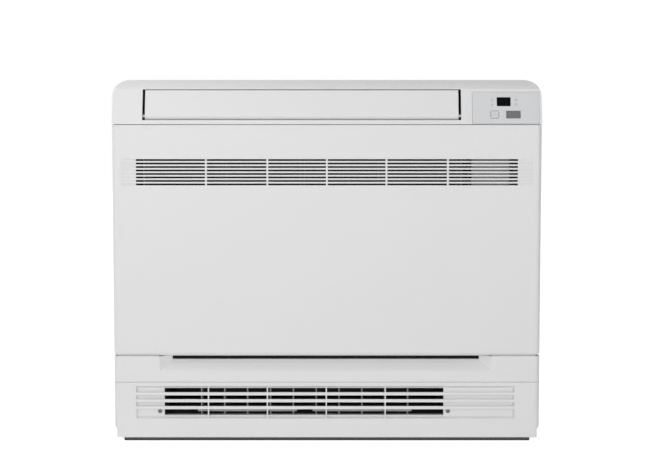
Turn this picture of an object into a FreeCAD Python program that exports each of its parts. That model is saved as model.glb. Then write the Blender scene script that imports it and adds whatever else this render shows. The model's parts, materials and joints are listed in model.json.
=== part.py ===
"""Floor console air conditioner: a low cabinet for floor or wall, with a turbo fan behind an upright coil.

Millimetres. +X is to the viewer's right, the front faces -Y, +Z is up.
The origin is the middle of the footprint, on the floor.
"""

import FreeCAD, Part
import math
import os

import Sketcher
from FreeCAD import Placement, Rotation, Vector

# Driving dimensions, grouped by the piece that carries them
SIZES = {
    # Cabinet
    "case_width": 700,
    "case_depth": 215,
    "case_height": 594,
    "wall": 2.5,
    "edge_radius": 8,
    "front_part_depth": 97.5,
    "foot_inset": 4,
    "foot_height": 14,
    "plinth_height": 6,
    "plinth_side_inset": 15,
    "plinth_front_inset": 4,
    "plinth_corner": 5,
    "cut_overrun": 3,
    "running_gap": 0.4,
    "pin_gap": 0.08,
    # Levels of the front mouldings
    "lower_cover_top": 98,
    "panel_bottom": 141,
    "top_case_height": 74,
    "panel_top_seam": 1,
    "sill_gap": 0.6,
    # Rear case
    "wall_hole_radius": 3.25,
    "wall_hole_inset": 50,
    "wall_hole_drop": 60,
    "wall_hole_level": 120,
    "pipe_hole_radius": 34,
    "pipe_hole_inset": 72,
    "pipe_hole_level": 68,
    "rear_rib_inset": 88,
    "rear_rib_pitch": 87.3,
    "rear_rib_count": 6,
    "rear_rib_depth": 5,
    "rear_rib_width": 3,
    # Front frame
    "bulkhead_depth": 23,
    "coil_window_left_inset": 58,
    "coil_window_right_inset": 138,
    "coil_window_rise": 24,
    "coil_window_drop": 28,
    "service_window_inset": 34,
    "service_window_width": 85,
    "service_window_height": 182,
    "service_window_drop": 20,
    "filter_lap": 8,
    "filter_thick": 4,
    "hinge_side_gap": 4.5,
    # Front panel
    "panel_return": 19,
    "panel_seam": 2,
    "panel_lip_radius": 6.5,
    "panel_pin_radius": 2,
    "panel_pin_length": 11,
    "hinge_lug_radius": 3.5,
    "hinge_lug_width": 5,
    "hinge_foot_thick": 2,
    "hinge_foot_width": 16,
    "hinge_foot_height": 11,
    "slot_height": 3,
    "slot_pitch": 5.66,
    "slot_count": 8,
    "slot_drop": 96.5,
    "slot_bar_width": 3,
    "slot_inner_half": 97,
    "slot_middle_half": 197,
    "slot_side_inset": 39,
    "groove_length": 24,
    "groove_depth": 0.7,
    # Panel latches
    "latch_drop": 46,
    "latch_knob_height": 8,
    "latch_knob_depth": 10,
    "latch_knob_stand": 3,
    "latch_stem_height": 5,
    "latch_stem_depth": 6,
    "latch_travel": 6,
    "latch_back": 38,
    "latch_plate_height": 18,
    "latch_plate_thick": 2,
    "latch_tongue_reach": 2,
    # Intake sill
    "scoop_left_inset": 75,
    "scoop_right_inset": 79,
    "scoop_taper": 20,
    "scoop_bottom": 117,
    "scoop_depth": 14.5,
    "scoop_lip": 134,
    # Lower cover and its grille
    "recess_left_inset": 36,
    "recess_right_inset": 41,
    "recess_bottom": 37,
    "recess_top": 91,
    "recess_depth": 5,
    "recess_draft": 3,
    "mouth_left_inset": 82.5,
    "mouth_right_inset": 158,
    "mouth_bottom": 42,
    "mouth_top": 87.3,
    "grille_bar_height": 5,
    "grille_bar_pitch": 11.5,
    "grille_bar_first": 52.6,
    "grille_bar_count": 3,
    "grille_bar_set": 0.6,
    "grille_bar_depth": 3.6,
    "cover_seam": 0.5,
    "grille_post_width": 2,
    "grille_post_pitch": 97,
    "grille_post_inset": 72.5,
    "grille_post_count": 4,
    "cover_screw_radius": 3.6,
    "cover_screw_height": 1.6,
    "cover_screw_shank": 1.8,
    "cover_screw_shank_length": 9,
    "cover_screw_offset": 7.5,
    "cover_screw_level": 49,
    # Top case
    "crown_radius": 28,
    "crown_drop": 16,
    "crown_run": 36,
    "face_bottom_depth": 3,
    "face_top_depth": 15,
    "outlet_left_inset": 49.5,
    "outlet_right_inset": 131.5,
    "outlet_rise": 7,
    "outlet_height": 50,
    "outlet_cut_depth": 30,
    "seat_gap": 0.3,
    # Upper flap
    "flap_end_gap": 4.2,
    "flap_skin_set": 0.3,
    "flap_thick": 3.5,
    "flap_height": 50.7,
    "flap_foot_gap": 1.5,
    "flap_toe_radius": 7,
    "flap_tip_radius": 1.5,
    "flap_pin_radius": 2.5,
    "flap_pin_root": 6,
    "flap_bush_radius": 4,
    "flap_boss_radius": 6,
    "flap_boss_width": 5,
    "flap_boss_set": 1,
    "stepper_radius": 12,
    "stepper_offset": 8,
    "flap_motor_length": 12,
    # Control panel: heights run up the slanted face from its foot
    "control_width": 109.5,
    "control_edge": 4,
    "control_foot_drop": 6.2,
    "control_height": 53.5,
    "control_set": 0.15,
    "control_thick": 2.5,
    "display_inset": 40.5,
    "display_width": 22,
    "display_low": 23.6,
    "display_high": 38,
    "receiver_inset": 55.5,
    "receiver_width": 23,
    "button_inset": 29.5,
    "button_width": 14,
    "button_low": 3.1,
    "button_high": 15.4,
    "button_corner": 3,
    "button_stem_radius": 2.5,
    "button_stem_length": 2,
    "button_travel": 1.2,
    "board_side_inset": 8,
    "board_inset": 1.2,
    "board_post_inset": 4,
    "board_post_radius": 2,
    "board_depth": 8,
    "board_thick": 1.6,
    "board_part_inset": 1,
    # Air filter
    "filter_rim": 7,
    "filter_panes": 4,
    "filter_grip_width": 60,
    "filter_grip_height": 16,
    "filter_grip_depth": 4,
    "mesh_thick": 0.8,
    # Coil, pipes and drain pan
    "coil_lap": 3,
    "coil_front_gap": 4,
    "coil_depth": 36,
    "coil_plate": 1.5,
    "fin_pitch": 10,
    "fin_sheet": 1.5,
    "fin_fold_count": 25,
    "tube_margin": 16,
    "tube_pitch": 25,
    "tube_radius": 4.75,
    "pipe_spread": 15,
    "pipe_bend": 20,
    "pipe_back_inset": 7,
    "gas_pipe_level": 200,
    "gas_pipe_radius": 4.76,
    "liquid_pipe_level": 240,
    "liquid_pipe_radius": 3.18,
    "union_length": 22,
    "union_wall": 6,
    "union_rear_gap": 3,
    "pan_wall": 2,
    "pan_gap": 1,
    "pan_lap": 4,
    "pan_height": 26,
    "spout_radius": 8,
    "spout_length": 18,
    # Air ducts and fan housing
    "duct_wall": 2,
    "housing_gap": 10,
    "housing_rear_gap": 2,
    "housing_side_radius": 900,
    "lower_duct_margin": 1.5,
    # Fan and its motor
    "inlet_radius": 108,
    "mouth_flare": 7,
    "mouth_wall": 2,
    "mouth_neck": 6,
    "mouth_land": 8,
    "fan_front_gap": 9,
    "fan_depth": 74,
    "fan_radius": 150,
    "fan_skin": 2.5,
    "fan_dome": 34,
    "hub_radius": 34,
    "hub_bore_radius": 12,
    "hub_length": 22,
    "dome_radius": 84,
    "eye_gap": 2,
    "shroud_lip": 8,
    "shroud_drop": 20,
    "blade_count": 7,
    "blade_root_radius": 92,
    "blade_sweep": 38,
    "blade_lean": 45,
    "blade_thick": 3,
    "blade_curve": 110,
    "shaft_radius": 4,
    "shaft_stick_out": 4,
    "shaft_end_gap": 4,
    "nut_radius": 9,
    "nut_height": 7,
    "motor_gap": 6,
    "motor_radius": 60,
    "motor_edge": 6,
    "bearing_radius": 11,
    "bearing_width": 8,
    "fan_drop": 13.5,
    "motor_boss_radius": 45,
    "motor_boss_depth": 5,
    # Upper duct and its vanes
    "upper_duct_depth": 21.5,
    "upper_floor_rise": 3,
    "upper_knee": 18,
    "upper_bend": 60,
    "upper_top_gap": 10,
    "upper_vane_margin": 59.5,
    "upper_vane_count": 5,
    "upper_vane_pivot": 23,
    "upper_vane_set": 5,
    "upper_vane_tail": 14,
    "upper_link_level": 9,
    # Lower duct, its two banks of vanes and its shutter
    "lower_vane_inset": 60.5,
    "lower_vane_pitch": 37.85,
    "lower_bank_count": 5,
    "lower_vane_pivot": 27.5,
    "lower_vane_set": 1.5,
    "lower_vane_tail": 21,
    "lower_link_level": 9,
    "duct_leg_inset": 25,
    "screw_boss_radius": 5,
    "screw_boss_depth": 11,
    "shutter_pivot": 62.5,
    "shutter_level": 3.5,
    "shutter_length": 42,
    "shutter_thick": 2,
    "shutter_side_gap": 2,
    "shutter_barrel_radius": 2.6,
    "shutter_pin_radius": 2,
    "shutter_motor_length": 14,
    # Every vane
    "vane_thick": 1.6,
    "vane_end_gap": 1,
    "vane_pin_radius": 1.5,
    "vane_pin_reach": 1.8,
    "vane_pin_root": 4,
    "link_pin_inset": 5,
    "link_pin_radius": 1,
    "link_notch": 8,
    "link_notch_depth": 5,
    "link_bar_width": 6,
    "link_bar_thick": 4,
    "link_bar_end": 6,
    # Electrical box
    "electric_box_inset": 8,
    "electric_box_width": 60,
    "electric_box_depth": 100,
    "electric_sheet": 1.2,
    "cable_hole_inset": 20,
    "cable_hole_radius": 10,
    "main_board_inset": 8,
    "board_post_height": 4,
    "capacitor_radius": 8,
    "capacitor_length": 22,
    "relay_size": 16,
    "terminal_pitch": 10,
    "terminal_count": 4,
    "terminal_depth": 18,
    "terminal_height": 16,
}

PARTS_FOLDER = "parts"
SHEET_NAME = "Sizes"
# How close two coordinates count as one
NEAR = 1e-4

doc = FreeCAD.newDocument("floor_console")
sheet = doc.addObject("Spreadsheet::Sheet", SHEET_NAME)
pieces = []


class Size:
    """A length, angle or count worked out from the sheet: its value and the expression that gives it."""

    def __init__(self, value, text):
        self.value = value
        self.text = text

    def __add__(self, other):
        other = as_size(other)
        return Size(self.value + other.value, f"({self.text} + {other.text})")

    def __sub__(self, other):
        other = as_size(other)
        return Size(self.value - other.value, f"({self.text} - {other.text})")

    def __mul__(self, other):
        other = as_size(other)
        return Size(self.value * other.value, f"({self.text} * {other.text})")

    def __truediv__(self, other):
        other = as_size(other)
        return Size(self.value / other.value, f"({self.text} / {other.text})")

    def __neg__(self):
        return Size(-self.value, f"(-{self.text})")

    def __rmul__(self, other):
        return as_size(other) * self


def as_size(number):
    """A plain number as a Size, so that sums can mix the two."""
    return number if isinstance(number, Size) else Size(float(number), repr(float(number)))


def root(size):
    """Square root of a Size."""
    return Size(math.sqrt(size.value), f"sqrt({size.text})")


def sine(size):
    """Sine of an angle in degrees."""
    return Size(math.sin(math.radians(size.value)), f"sin({size.text})")


def cosine(size):
    """Cosine of an angle in degrees."""
    return Size(math.cos(math.radians(size.value)), f"cos({size.text})")


def arc_tangent(rise, run):
    """Angle in degrees whose tangent is rise over run."""
    angle = math.degrees(math.atan(rise.value / run.value))
    return Size(angle, f"(atan({rise.text} / {run.text}) / 1 deg)")


class Sheet:
    """The sheet's aliases as attributes, each one a Size."""


def fill_sheet():
    """Writes every driving dimension to the sheet and gives its cell an alias."""
    table = Sheet()
    for row, (alias, value) in enumerate(SIZES.items(), start=1):
        sheet.set(f"A{row}", alias)
        sheet.set(f"B{row}", str(value))
        sheet.setAlias(f"B{row}", alias)
        setattr(table, alias, Size(float(value), f"{SHEET_NAME}.{alias}"))
    doc.recompute()
    return table


def bind(target, prop, size):
    """Ties a property to the sheet through an expression."""
    target.setExpression(prop, as_size(size).text)


def place(target, at, turn=None):
    """Ties a placement: at is (x, y, z), turn is (axis letter, angle)."""
    if isinstance(turn, Rotation):
        target.Placement = Placement(Vector(), turn)
    elif turn is not None:
        letter, angle = turn
        axis = Vector(*(float(letter == name) for name in "XYZ"))
        target.Placement = Placement(Vector(), Rotation(axis, as_size(angle).value))
        bind(target, "Placement.Rotation.Angle", angle)
    for letter, size in zip("xyz", at):
        bind(target, f"Placement.Base.{letter}", size)


def keep(target, label):
    """Marks a finished object as a sub-part of the product."""
    target.Label = label
    pieces.append(target)
    return target


def new_body(name):
    """An empty body."""
    return doc.addObject("PartDesign::Body", name)


# Each plane's normal: +1 where it runs along its axis, -1 where it runs against it
NORMALS = {"XY_Plane": 1, "YZ_Plane": 1, "XZ_Plane": -1}


def circle(u, v, radius):
    """A round loop for a sketch."""
    return {"centre": (u, v), "radius": radius}


def rectangle(u_low, u_high, v_low, v_high):
    """A square-cornered loop for a sketch."""
    return [(u_low, v_low), (u_high, v_low), (u_high, v_high), (u_low, v_high)]


def rounded_rectangle(u_low, u_high, v_low, v_high, radius):
    """A loop with four quarter-round corners. A third value starts an arc of that radius."""
    return [
        (u_low + radius, v_low),
        (u_high - radius, v_low, radius),
        (u_high, v_low + radius),
        (u_high, v_high - radius, radius),
        (u_high - radius, v_high),
        (u_low + radius, v_high, radius),
        (u_low, v_high - radius),
        (u_low, v_low + radius, radius),
    ]


def arc_between(start, end, radius):
    """The minor arc from start to end: counter-clockwise for a positive radius, else clockwise."""
    chord = end - start
    middle = (start + end) / 2
    rise = math.sqrt(max(radius * radius - chord.Length * chord.Length / 4, 0))
    side = Vector(-chord.y, chord.x, 0).normalize()
    turn = math.copysign(1, radius)
    centre = middle + side * rise * turn
    through = centre - side * abs(radius) * turn
    return Part.Arc(start, through, end)


def add_loop(sketch, loop):
    """Draws one closed loop and fixes each corner with distances from the sketch's origin."""
    first = sketch.GeometryCount
    if isinstance(loop, dict):
        u, v = (as_size(value) for value in loop["centre"])
        radius = as_size(loop["radius"])
        sketch.addGeometry(Part.Circle(Vector(u.value, v.value, 0), Vector(0, 0, 1), radius.value), False)
        wanted = [
            ("DistanceX", (-1, 1, first, 3), u),
            ("DistanceY", (-1, 1, first, 3), v),
            ("Radius", (first,), radius),
        ]
    else:
        corners = [[as_size(value) for value in corner] for corner in loop]
        points = [Vector(corner[0].value, corner[1].value, 0) for corner in corners]
        count = len(points)
        wanted = []
        for index, corner in enumerate(corners):
            start, end = points[index], points[(index + 1) % count]
            if len(corner) > 2:
                sketch.addGeometry(arc_between(start, end, corner[2].value), False)
                size = corner[2] if corner[2].value > 0 else -corner[2]
                wanted.append(("Radius", (first + index,), size))
            else:
                sketch.addGeometry(Part.LineSegment(start, end), False)
        for index, corner in enumerate(corners):
            # A clockwise arc is stored with its ends swapped
            swapped = len(corner) > 2 and corner[2].value < 0
            before = corners[index - 1]
            before_swapped = len(before) > 2 and before[2].value < 0
            own_start = 2 if swapped else 1
            other_end = 1 if before_swapped else 2
            other = first + (index - 1) % count
            sketch.addConstraint(Sketcher.Constraint("Coincident", other, other_end, first + index, own_start))
            wanted.append(("DistanceX", (-1, 1, first + index, own_start), corner[0]))
            wanted.append(("DistanceY", (-1, 1, first + index, own_start), corner[1]))
    for kind, where, size in wanted:
        index = sketch.addConstraint(Sketcher.Constraint(kind, *where, size.value))
        sketch.setExpression(f"Constraints[{index}]", size.text)


def new_sketch(body, plane, offset, loops):
    """A sketch on one of the body's origin planes, moved along that plane's axis to offset."""
    sketch = body.newObject("Sketcher::SketchObject", "Sketch")
    support = [feature for feature in body.Origin.OriginFeatures if feature.Role == plane]
    sketch.AttachmentSupport = [(support[0], "")]
    sketch.MapMode = "FlatFace"
    bind(sketch, "AttachmentOffset.Base.z", as_size(offset) * NORMALS[plane])
    for loop in loops:
        add_loop(sketch, loop)
    return sketch


def pad(body, plane, loops, low, high):
    """Adds material between two levels of the plane's axis."""
    base = low if NORMALS[plane] > 0 else high
    feature = body.newObject("PartDesign::Pad", "Pad")
    feature.Profile = new_sketch(body, plane, base, loops)
    bind(feature, "Length", as_size(high) - low)
    return feature


def pocket(body, plane, loops, low, high):
    """Removes material between two levels of the plane's axis."""
    base = high if NORMALS[plane] > 0 else low
    feature = body.newObject("PartDesign::Pocket", "Pocket")
    feature.Profile = new_sketch(body, plane, base, loops)
    bind(feature, "Length", as_size(high) - low)
    return feature


def revolve(body, plane, loops, offset, axis, cut=False):
    """Turns a profile once round the sketch's own H_Axis or V_Axis."""
    kind = "PartDesign::Groove" if cut else "PartDesign::Revolution"
    feature = body.newObject(kind, "Turned")
    sketch = new_sketch(body, plane, offset, loops)
    feature.Profile = sketch
    feature.ReferenceAxis = (sketch, [axis])
    feature.Angle = 360
    return feature


def repeat_along(body, feature, axis, pitch, count, reverse=False):
    """Repeats a feature along its sketch's axis, as a pattern that becomes the body's tip."""
    doc.recompute()
    pattern = body.newObject("PartDesign::LinearPattern", "Row")
    pattern.Originals = [feature]
    pattern.Direction = (feature.Profile[0], [axis])
    pattern.Reversed = reverse
    bind(pattern, "Length", pitch * (count - 1))
    bind(pattern, "Occurrences", count)
    body.Tip = pattern
    return pattern


def repeat_round(body, feature, axis, count):
    """Repeats a feature round its sketch's axis."""
    doc.recompute()
    pattern = body.newObject("PartDesign::PolarPattern", "Ring")
    pattern.Originals = [feature]
    pattern.Axis = (feature.Profile[0], [axis])
    pattern.Angle = 360
    bind(pattern, "Occurrences", count)
    body.Tip = pattern
    return pattern


def edge_names(shape, chosen):
    """Names of the edges that a test picks."""
    return [f"Edge{index}" for index, edge in enumerate(shape.Edges, start=1) if chosen(edge)]


def round_edges(body, chosen, radius):
    """Fillets the edges of the body's tip that a test picks."""
    doc.recompute()
    tip = body.Tip
    names = edge_names(tip.Shape, chosen)
    feature = body.newObject("PartDesign::Fillet", "Fillet")
    feature.Base = (tip, names)
    bind(feature, "Radius", radius)
    return feature


def runs_along(edge, letter):
    """True if a straight edge runs along that axis."""
    if edge.Curve.TypeId != "Part::GeomLine":
        return False
    return abs(abs(getattr(edge.Curve.Direction, letter)) - 1) < NEAR


def edge_at(edge, **where):
    """True if both ends of an edge have the given coordinates."""
    return all(
        abs(getattr(vertex.Point, letter) - as_size(size).value) < NEAR
        for vertex in edge.Vertexes
        for letter, size in where.items()
    )


def face_at(face, **where):
    """True if the middle of a face has the given coordinates."""
    return all(
        abs(getattr(face.CenterOfMass, letter) - as_size(size).value) < NEAR for letter, size in where.items()
    )


def hollow_out(body, opened, wall):
    """Shells the body's tip inwards, leaving out the faces that a test picks."""
    doc.recompute()
    tip = body.Tip
    names = [f"Face{index}" for index, face in enumerate(tip.Shape.Faces, start=1) if opened(face)]
    feature = body.newObject("PartDesign::Thickness", "Shell")
    feature.Base = (tip, names)
    feature.Reversed = True
    feature.Join = "Intersection"
    bind(feature, "Value", wall)
    return feature


def box(x_span, y_span, z_span):
    """A block between two levels on each axis."""
    block = doc.addObject("Part::Box", "Block")
    for prop, span in zip(("Length", "Width", "Height"), (x_span, y_span, z_span)):
        bind(block, prop, as_size(span[1]) - span[0])
    place(block, (x_span[0], y_span[0], z_span[0]))
    return block


# Turn that lays a primitive's own +Z along an axis of the product
TURNS = {"X": ("Y", 90), "Y": ("X", -90), "Z": None}


def rod(axis, start, radius, length):
    """A cylinder from start along an axis of the product."""
    cylinder = doc.addObject("Part::Cylinder", "Rod")
    bind(cylinder, "Radius", radius)
    bind(cylinder, "Height", length)
    place(cylinder, start, TURNS[axis])
    return cylinder


def joined(*parts):
    """Several solids as one object."""
    group = doc.addObject("Part::MultiFuse", "Joined")
    group.Shapes = list(parts)
    return group


def cut(base, *tools):
    """A solid with others taken out of it."""
    result = doc.addObject("Part::Cut", "Cut")
    result.Base = base
    result.Tool = tools[0] if len(tools) == 1 else joined(*tools)
    return result


def group(*solids):
    """Separate solids that share one node."""
    compound = doc.addObject("Part::Compound", "Group")
    compound.Links = list(solids)
    return compound


s = fill_sheet()

# Main planes of the cabinet
left = -s.case_width / 2
right = s.case_width / 2

# Places that follow the cabinet's width and height
s.top_case_bottom = s.case_height - s.top_case_height
s.panel_top = s.top_case_bottom - s.panel_top_seam
s.wall_hole_span_x = s.case_width - s.wall_hole_inset * 2
s.wall_hole_span_z = s.top_case_bottom - s.wall_hole_drop - s.wall_hole_level
s.pipe_hole_x = right - s.pipe_hole_inset
s.coil_window_left = right - s.coil_window_left_inset
s.coil_window_right = right - s.coil_window_right_inset
s.coil_window_bottom = s.panel_bottom + s.coil_window_rise
s.coil_window_top = s.top_case_bottom - s.coil_window_drop
s.service_window_right = right - s.service_window_inset
s.service_window_left = s.service_window_right - s.service_window_width
s.service_window_top = s.top_case_bottom - s.service_window_drop
s.service_window_bottom = s.service_window_top - s.service_window_height
s.slot_first_level = s.panel_top - s.slot_drop
s.slot_outer_half = right - s.slot_side_inset
s.latch_level = s.top_case_bottom - s.latch_drop
s.scoop_left = right - s.scoop_left_inset
s.scoop_right = right - s.scoop_right_inset
s.recess_left = right - s.recess_left_inset
s.recess_right = right - s.recess_right_inset
s.mouth_left = right - s.mouth_left_inset
s.mouth_right = right - s.mouth_right_inset
s.outlet_left = right - s.outlet_left_inset
s.outlet_right = right - s.outlet_right_inset
s.outlet_bottom = s.top_case_bottom + s.outlet_rise
s.outlet_top = s.outlet_bottom + s.outlet_height
s.control_right = right - s.control_edge
s.control_left = s.control_right - s.control_width
s.control_foot = -s.control_foot_drop
s.display_left = s.control_left + s.display_inset
s.display_right = s.display_left + s.display_width
s.receiver_left = s.control_left + s.receiver_inset
s.receiver_right = s.receiver_left + s.receiver_width
s.button_left = s.control_left + s.button_inset
s.button_right = s.button_left + s.button_width
s.upper_top = s.case_height - s.upper_top_gap
s.upper_vane_pitch = (s.outlet_left + s.outlet_right - s.upper_vane_margin * 2) / (s.upper_vane_count - 1)
front = -s.case_depth / 2
rear = s.case_depth / 2
split = front + s.front_part_depth
foot_top = s.plinth_height + s.foot_height
foot_slope_top = foot_top + s.foot_inset
bulkhead_front = front + s.bulkhead_depth
bulkhead_back = bulkhead_front + s.wall
panel_back = front + s.panel_return
frame_front = panel_back + s.panel_seam
hinge_y = front + s.panel_lip_radius
hinge_z = s.panel_bottom + s.panel_lip_radius
filter_front = bulkhead_front - s.filter_thick
filter_bottom = s.coil_window_bottom - s.filter_lap
filter_top = s.coil_window_top + s.filter_lap
latch_y = front + s.latch_back
cover_screw_places = (-s.mouth_left - s.cover_screw_offset, s.mouth_right + s.cover_screw_offset)
fan_x = (s.coil_window_right - s.coil_window_left) / 2
fan_z = (s.coil_window_bottom + s.coil_window_top) / 2 - s.fan_drop


def span_of(one, other):
    """Two levels in rising order."""
    return (one, other) if one.value < other.value else (other, one)


def case_section(inset, bottom, top):
    """Front outline of the cabinet with its set-in foot."""
    half = right - inset
    foot_half = half - s.foot_inset
    return [
        (-foot_half, bottom),
        (foot_half, bottom),
        (foot_half, foot_top),
        (half, foot_slope_top),
        (half, top),
        (-half, top),
        (-half, foot_slope_top),
        (-foot_half, foot_top),
    ]


def front_plan(inset, back):
    """Plan of a front moulding with its two rounded corners, open to the back."""
    half = right - inset
    radius = s.edge_radius - inset
    face = front + inset
    return [
        (-half, back),
        (-half, face + radius, radius),
        (-half + radius, face),
        (half - radius, face, radius),
        (half, face + radius),
        (half, back),
    ]


def make_base_plate():
    """Dark plinth that carries the cabinet and shows as a thin line under it."""
    body = new_body("BasePlate")
    inset = s.plinth_side_inset
    outline = rounded_rectangle(
        left + inset, right - inset, front + s.plinth_front_inset, rear - s.plinth_front_inset, s.plinth_corner
    )
    pad(body, "XY_Plane", [outline], 0, s.plinth_height)
    return keep(body, "base_plate")


def make_rear_case():
    """Back moulding: rear wall, two sides and a floor, open to the front and the top."""
    body = new_body("RearCase")
    wall = s.wall
    over = s.cut_overrun
    pad(body, "XZ_Plane", [case_section(0, s.plinth_height, s.top_case_bottom)], split, rear)
    inner = case_section(wall, s.plinth_height + wall, s.top_case_bottom + over)
    pocket(body, "XZ_Plane", [inner], split - over, rear - wall)
    rib_low = s.plinth_height + wall
    rib = rectangle(
        left + s.rear_rib_inset,
        left + s.rear_rib_inset + s.rear_rib_width,
        rib_low,
        s.top_case_bottom - s.rear_rib_depth,
    )
    ribs = pad(body, "XZ_Plane", [rib], rear - wall - s.rear_rib_depth, rear - wall)
    repeat_along(body, ribs, "H_Axis", s.rear_rib_pitch, s.rear_rib_count)
    boss_front = rear - wall - s.motor_boss_depth
    pad(body, "XZ_Plane", [circle(fan_x, fan_z, s.motor_boss_radius)], boss_front, rear - wall)
    holes = [
        circle(side * s.wall_hole_span_x / 2, s.wall_hole_level + step * s.wall_hole_span_z, s.wall_hole_radius)
        for side in (-1, 1)
        for step in (0, 1)
    ]
    holes.append(circle(s.pipe_hole_x, s.pipe_hole_level, s.pipe_hole_radius))
    pocket(body, "XZ_Plane", holes, rear - wall - s.rear_rib_depth - over, rear + over)
    return keep(body, "rear_case")


def make_front_frame():
    """Middle moulding: two side walls joined by a bulkhead that carries filter, coil and panel hinges."""
    body = new_body("FrontFrame")
    wall = s.wall
    over = s.cut_overrun
    low, high = s.lower_cover_top, s.top_case_bottom
    pad(body, "XZ_Plane", [rectangle(left, right, low, high)], frame_front, split)
    inside = rectangle(left + wall, right - wall, low - over, high + over)
    pocket(body, "XZ_Plane", [inside], frame_front - over, bulkhead_front)
    pocket(body, "XZ_Plane", [inside], bulkhead_back, split + over)
    windows = [
        rectangle(-s.coil_window_left, s.coil_window_right, s.coil_window_bottom, s.coil_window_top),
        rectangle(s.service_window_left, s.service_window_right, s.service_window_bottom, s.service_window_top),
    ]
    pocket(body, "XZ_Plane", windows, bulkhead_front - over, bulkhead_back + over)
    stem = rectangle(
        latch_y - s.latch_stem_depth / 2 - s.running_gap,
        latch_y + s.latch_stem_depth / 2 + s.running_gap,
        s.latch_level - s.latch_stem_height / 2 - s.latch_travel - s.running_gap,
        s.latch_level + s.latch_stem_height / 2 + s.running_gap,
    )
    tongue_low = s.latch_level - s.latch_knob_height / 2 - s.latch_travel - s.running_gap
    tongue_high = s.latch_level + s.latch_knob_height / 2 + s.running_gap
    for side in (-1, 1):
        face = (right - wall) * side
        inner = (right - wall - s.latch_plate_thick - s.running_gap * 2) * side
        slot = rectangle(*span_of(inner, face), tongue_low, tongue_high)
        pocket(body, "XZ_Plane", [slot], bulkhead_front - over, bulkhead_back + over)
    pocket(body, "YZ_Plane", [stem], left - over, left + wall + over)
    pocket(body, "YZ_Plane", [stem], right - wall - over, right + over)
    return keep(group(body, filter_guide()), "front_frame")


def filter_guide():
    """Ledge and two rails on the bulkhead that the filter slides into."""
    body = new_body("FilterGuide")
    rail_set = s.filter_lap + s.running_gap
    rail_bounds = (-s.coil_window_left - rail_set, s.coil_window_right + rail_set)
    ledge = rectangle(rail_bounds[0] - s.wall, rail_bounds[1] + s.wall, filter_bottom - s.wall, filter_bottom)
    pad(body, "XZ_Plane", [ledge], filter_front, bulkhead_front)
    for inner, away in zip(rail_bounds, (-1, 1)):
        rail = rectangle(*span_of(inner, inner + s.wall * away), filter_bottom, filter_top)
        pad(body, "XZ_Plane", [rail], filter_front, bulkhead_front)
    return body


def make_hinge_brackets():
    """Two brackets on the bulkhead whose eyes take the panel's pins."""
    lug = s.hinge_lug_radius
    arm = [
        (hinge_y, hinge_z - lug),
        (bulkhead_front, hinge_z - lug),
        (bulkhead_front, hinge_z + lug),
        (hinge_y, hinge_z + lug, lug),
        (hinge_y - lug, hinge_z, lug),
    ]
    foot = rectangle(
        bulkhead_front - s.hinge_foot_thick, bulkhead_front, hinge_z - lug, hinge_z - lug + s.hinge_foot_height
    )
    bore = circle(hinge_y, hinge_z, s.panel_pin_radius + s.pin_gap)
    brackets = []
    for side in (-1, 1):
        outer = (right - s.wall - s.hinge_side_gap) * side
        inner = outer - s.hinge_lug_width * side
        foot_inner = outer - s.hinge_foot_width * side
        body = new_body("HingeBracket")
        pad(body, "YZ_Plane", [arm], *span_of(inner, outer))
        pad(body, "YZ_Plane", [foot], *span_of(foot_inner, outer))
        low, high = span_of(inner, outer)
        pocket(body, "YZ_Plane", [bore], low - s.running_gap, high + s.running_gap)
        brackets.append(body)
    return keep(group(*brackets), "panel_hinge_brackets")


def sill_end(edge, side):
    """Hollow end of the sill, from the edge of the scoop to the corner of the cabinet."""
    body = new_body("SillEnd")
    over = s.cut_overrun
    low, high = s.lower_cover_top, s.panel_bottom - s.sill_gap
    pad(body, "XY_Plane", [front_plan(0, frame_front)], low, high)
    beyond = rectangle(*span_of(edge, (left - over) * side), low - over, high + over)
    pocket(body, "XZ_Plane", [beyond], front - over, frame_front + over)
    hollow = rectangle(front + s.wall, frame_front + over, low - over, high - s.wall)
    pocket(body, "YZ_Plane", [hollow], *span_of(edge + s.wall * side, (right - s.edge_radius) * side))
    return body


def sill_cheek(edge, side):
    """Slanting side of the scoop, which stands on the sill's sloping floor."""
    body = new_body("SillCheek")
    over = s.cut_overrun
    scoop_back = front + s.scoop_depth
    throat = edge - s.scoop_taper * side
    plan = [(edge, front), (throat, scoop_back), (throat, frame_front), (edge, frame_front)]
    pad(body, "XY_Plane", [plan], s.scoop_bottom, s.panel_bottom - s.sill_gap)
    under = [
        (front - over, s.scoop_bottom - over),
        (frame_front + over, s.scoop_bottom - over),
        (frame_front + over, s.scoop_lip),
        (scoop_back, s.scoop_lip),
        (front, s.scoop_bottom),
        (front - over, s.scoop_bottom),
    ]
    pocket(body, "YZ_Plane", [under], *span_of(edge + over * side, throat - over * side))
    return body


def make_intake_sill():
    """Strip under the front panel, scooped out so that air and fingers reach the panel's lower edge."""
    scoop_back = front + s.scoop_depth
    rail = new_body("SillRail")
    section = [
        (front, s.lower_cover_top),
        (front + s.wall, s.lower_cover_top),
        (front + s.wall, s.scoop_bottom - s.wall),
        (scoop_back, s.scoop_lip - s.wall),
        (frame_front, s.scoop_lip - s.wall),
        (frame_front, s.scoop_lip),
        (scoop_back, s.scoop_lip),
        (front, s.scoop_bottom),
    ]
    pad(rail, "YZ_Plane", [section], -s.scoop_left, s.scoop_right)
    solids = [rail]
    for edge, side in ((-s.scoop_left, -1), (s.scoop_right, 1)):
        solids.append(sill_end(edge, side))
        solids.append(sill_cheek(edge, side))
    return keep(group(*solids), "intake_sill")


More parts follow.
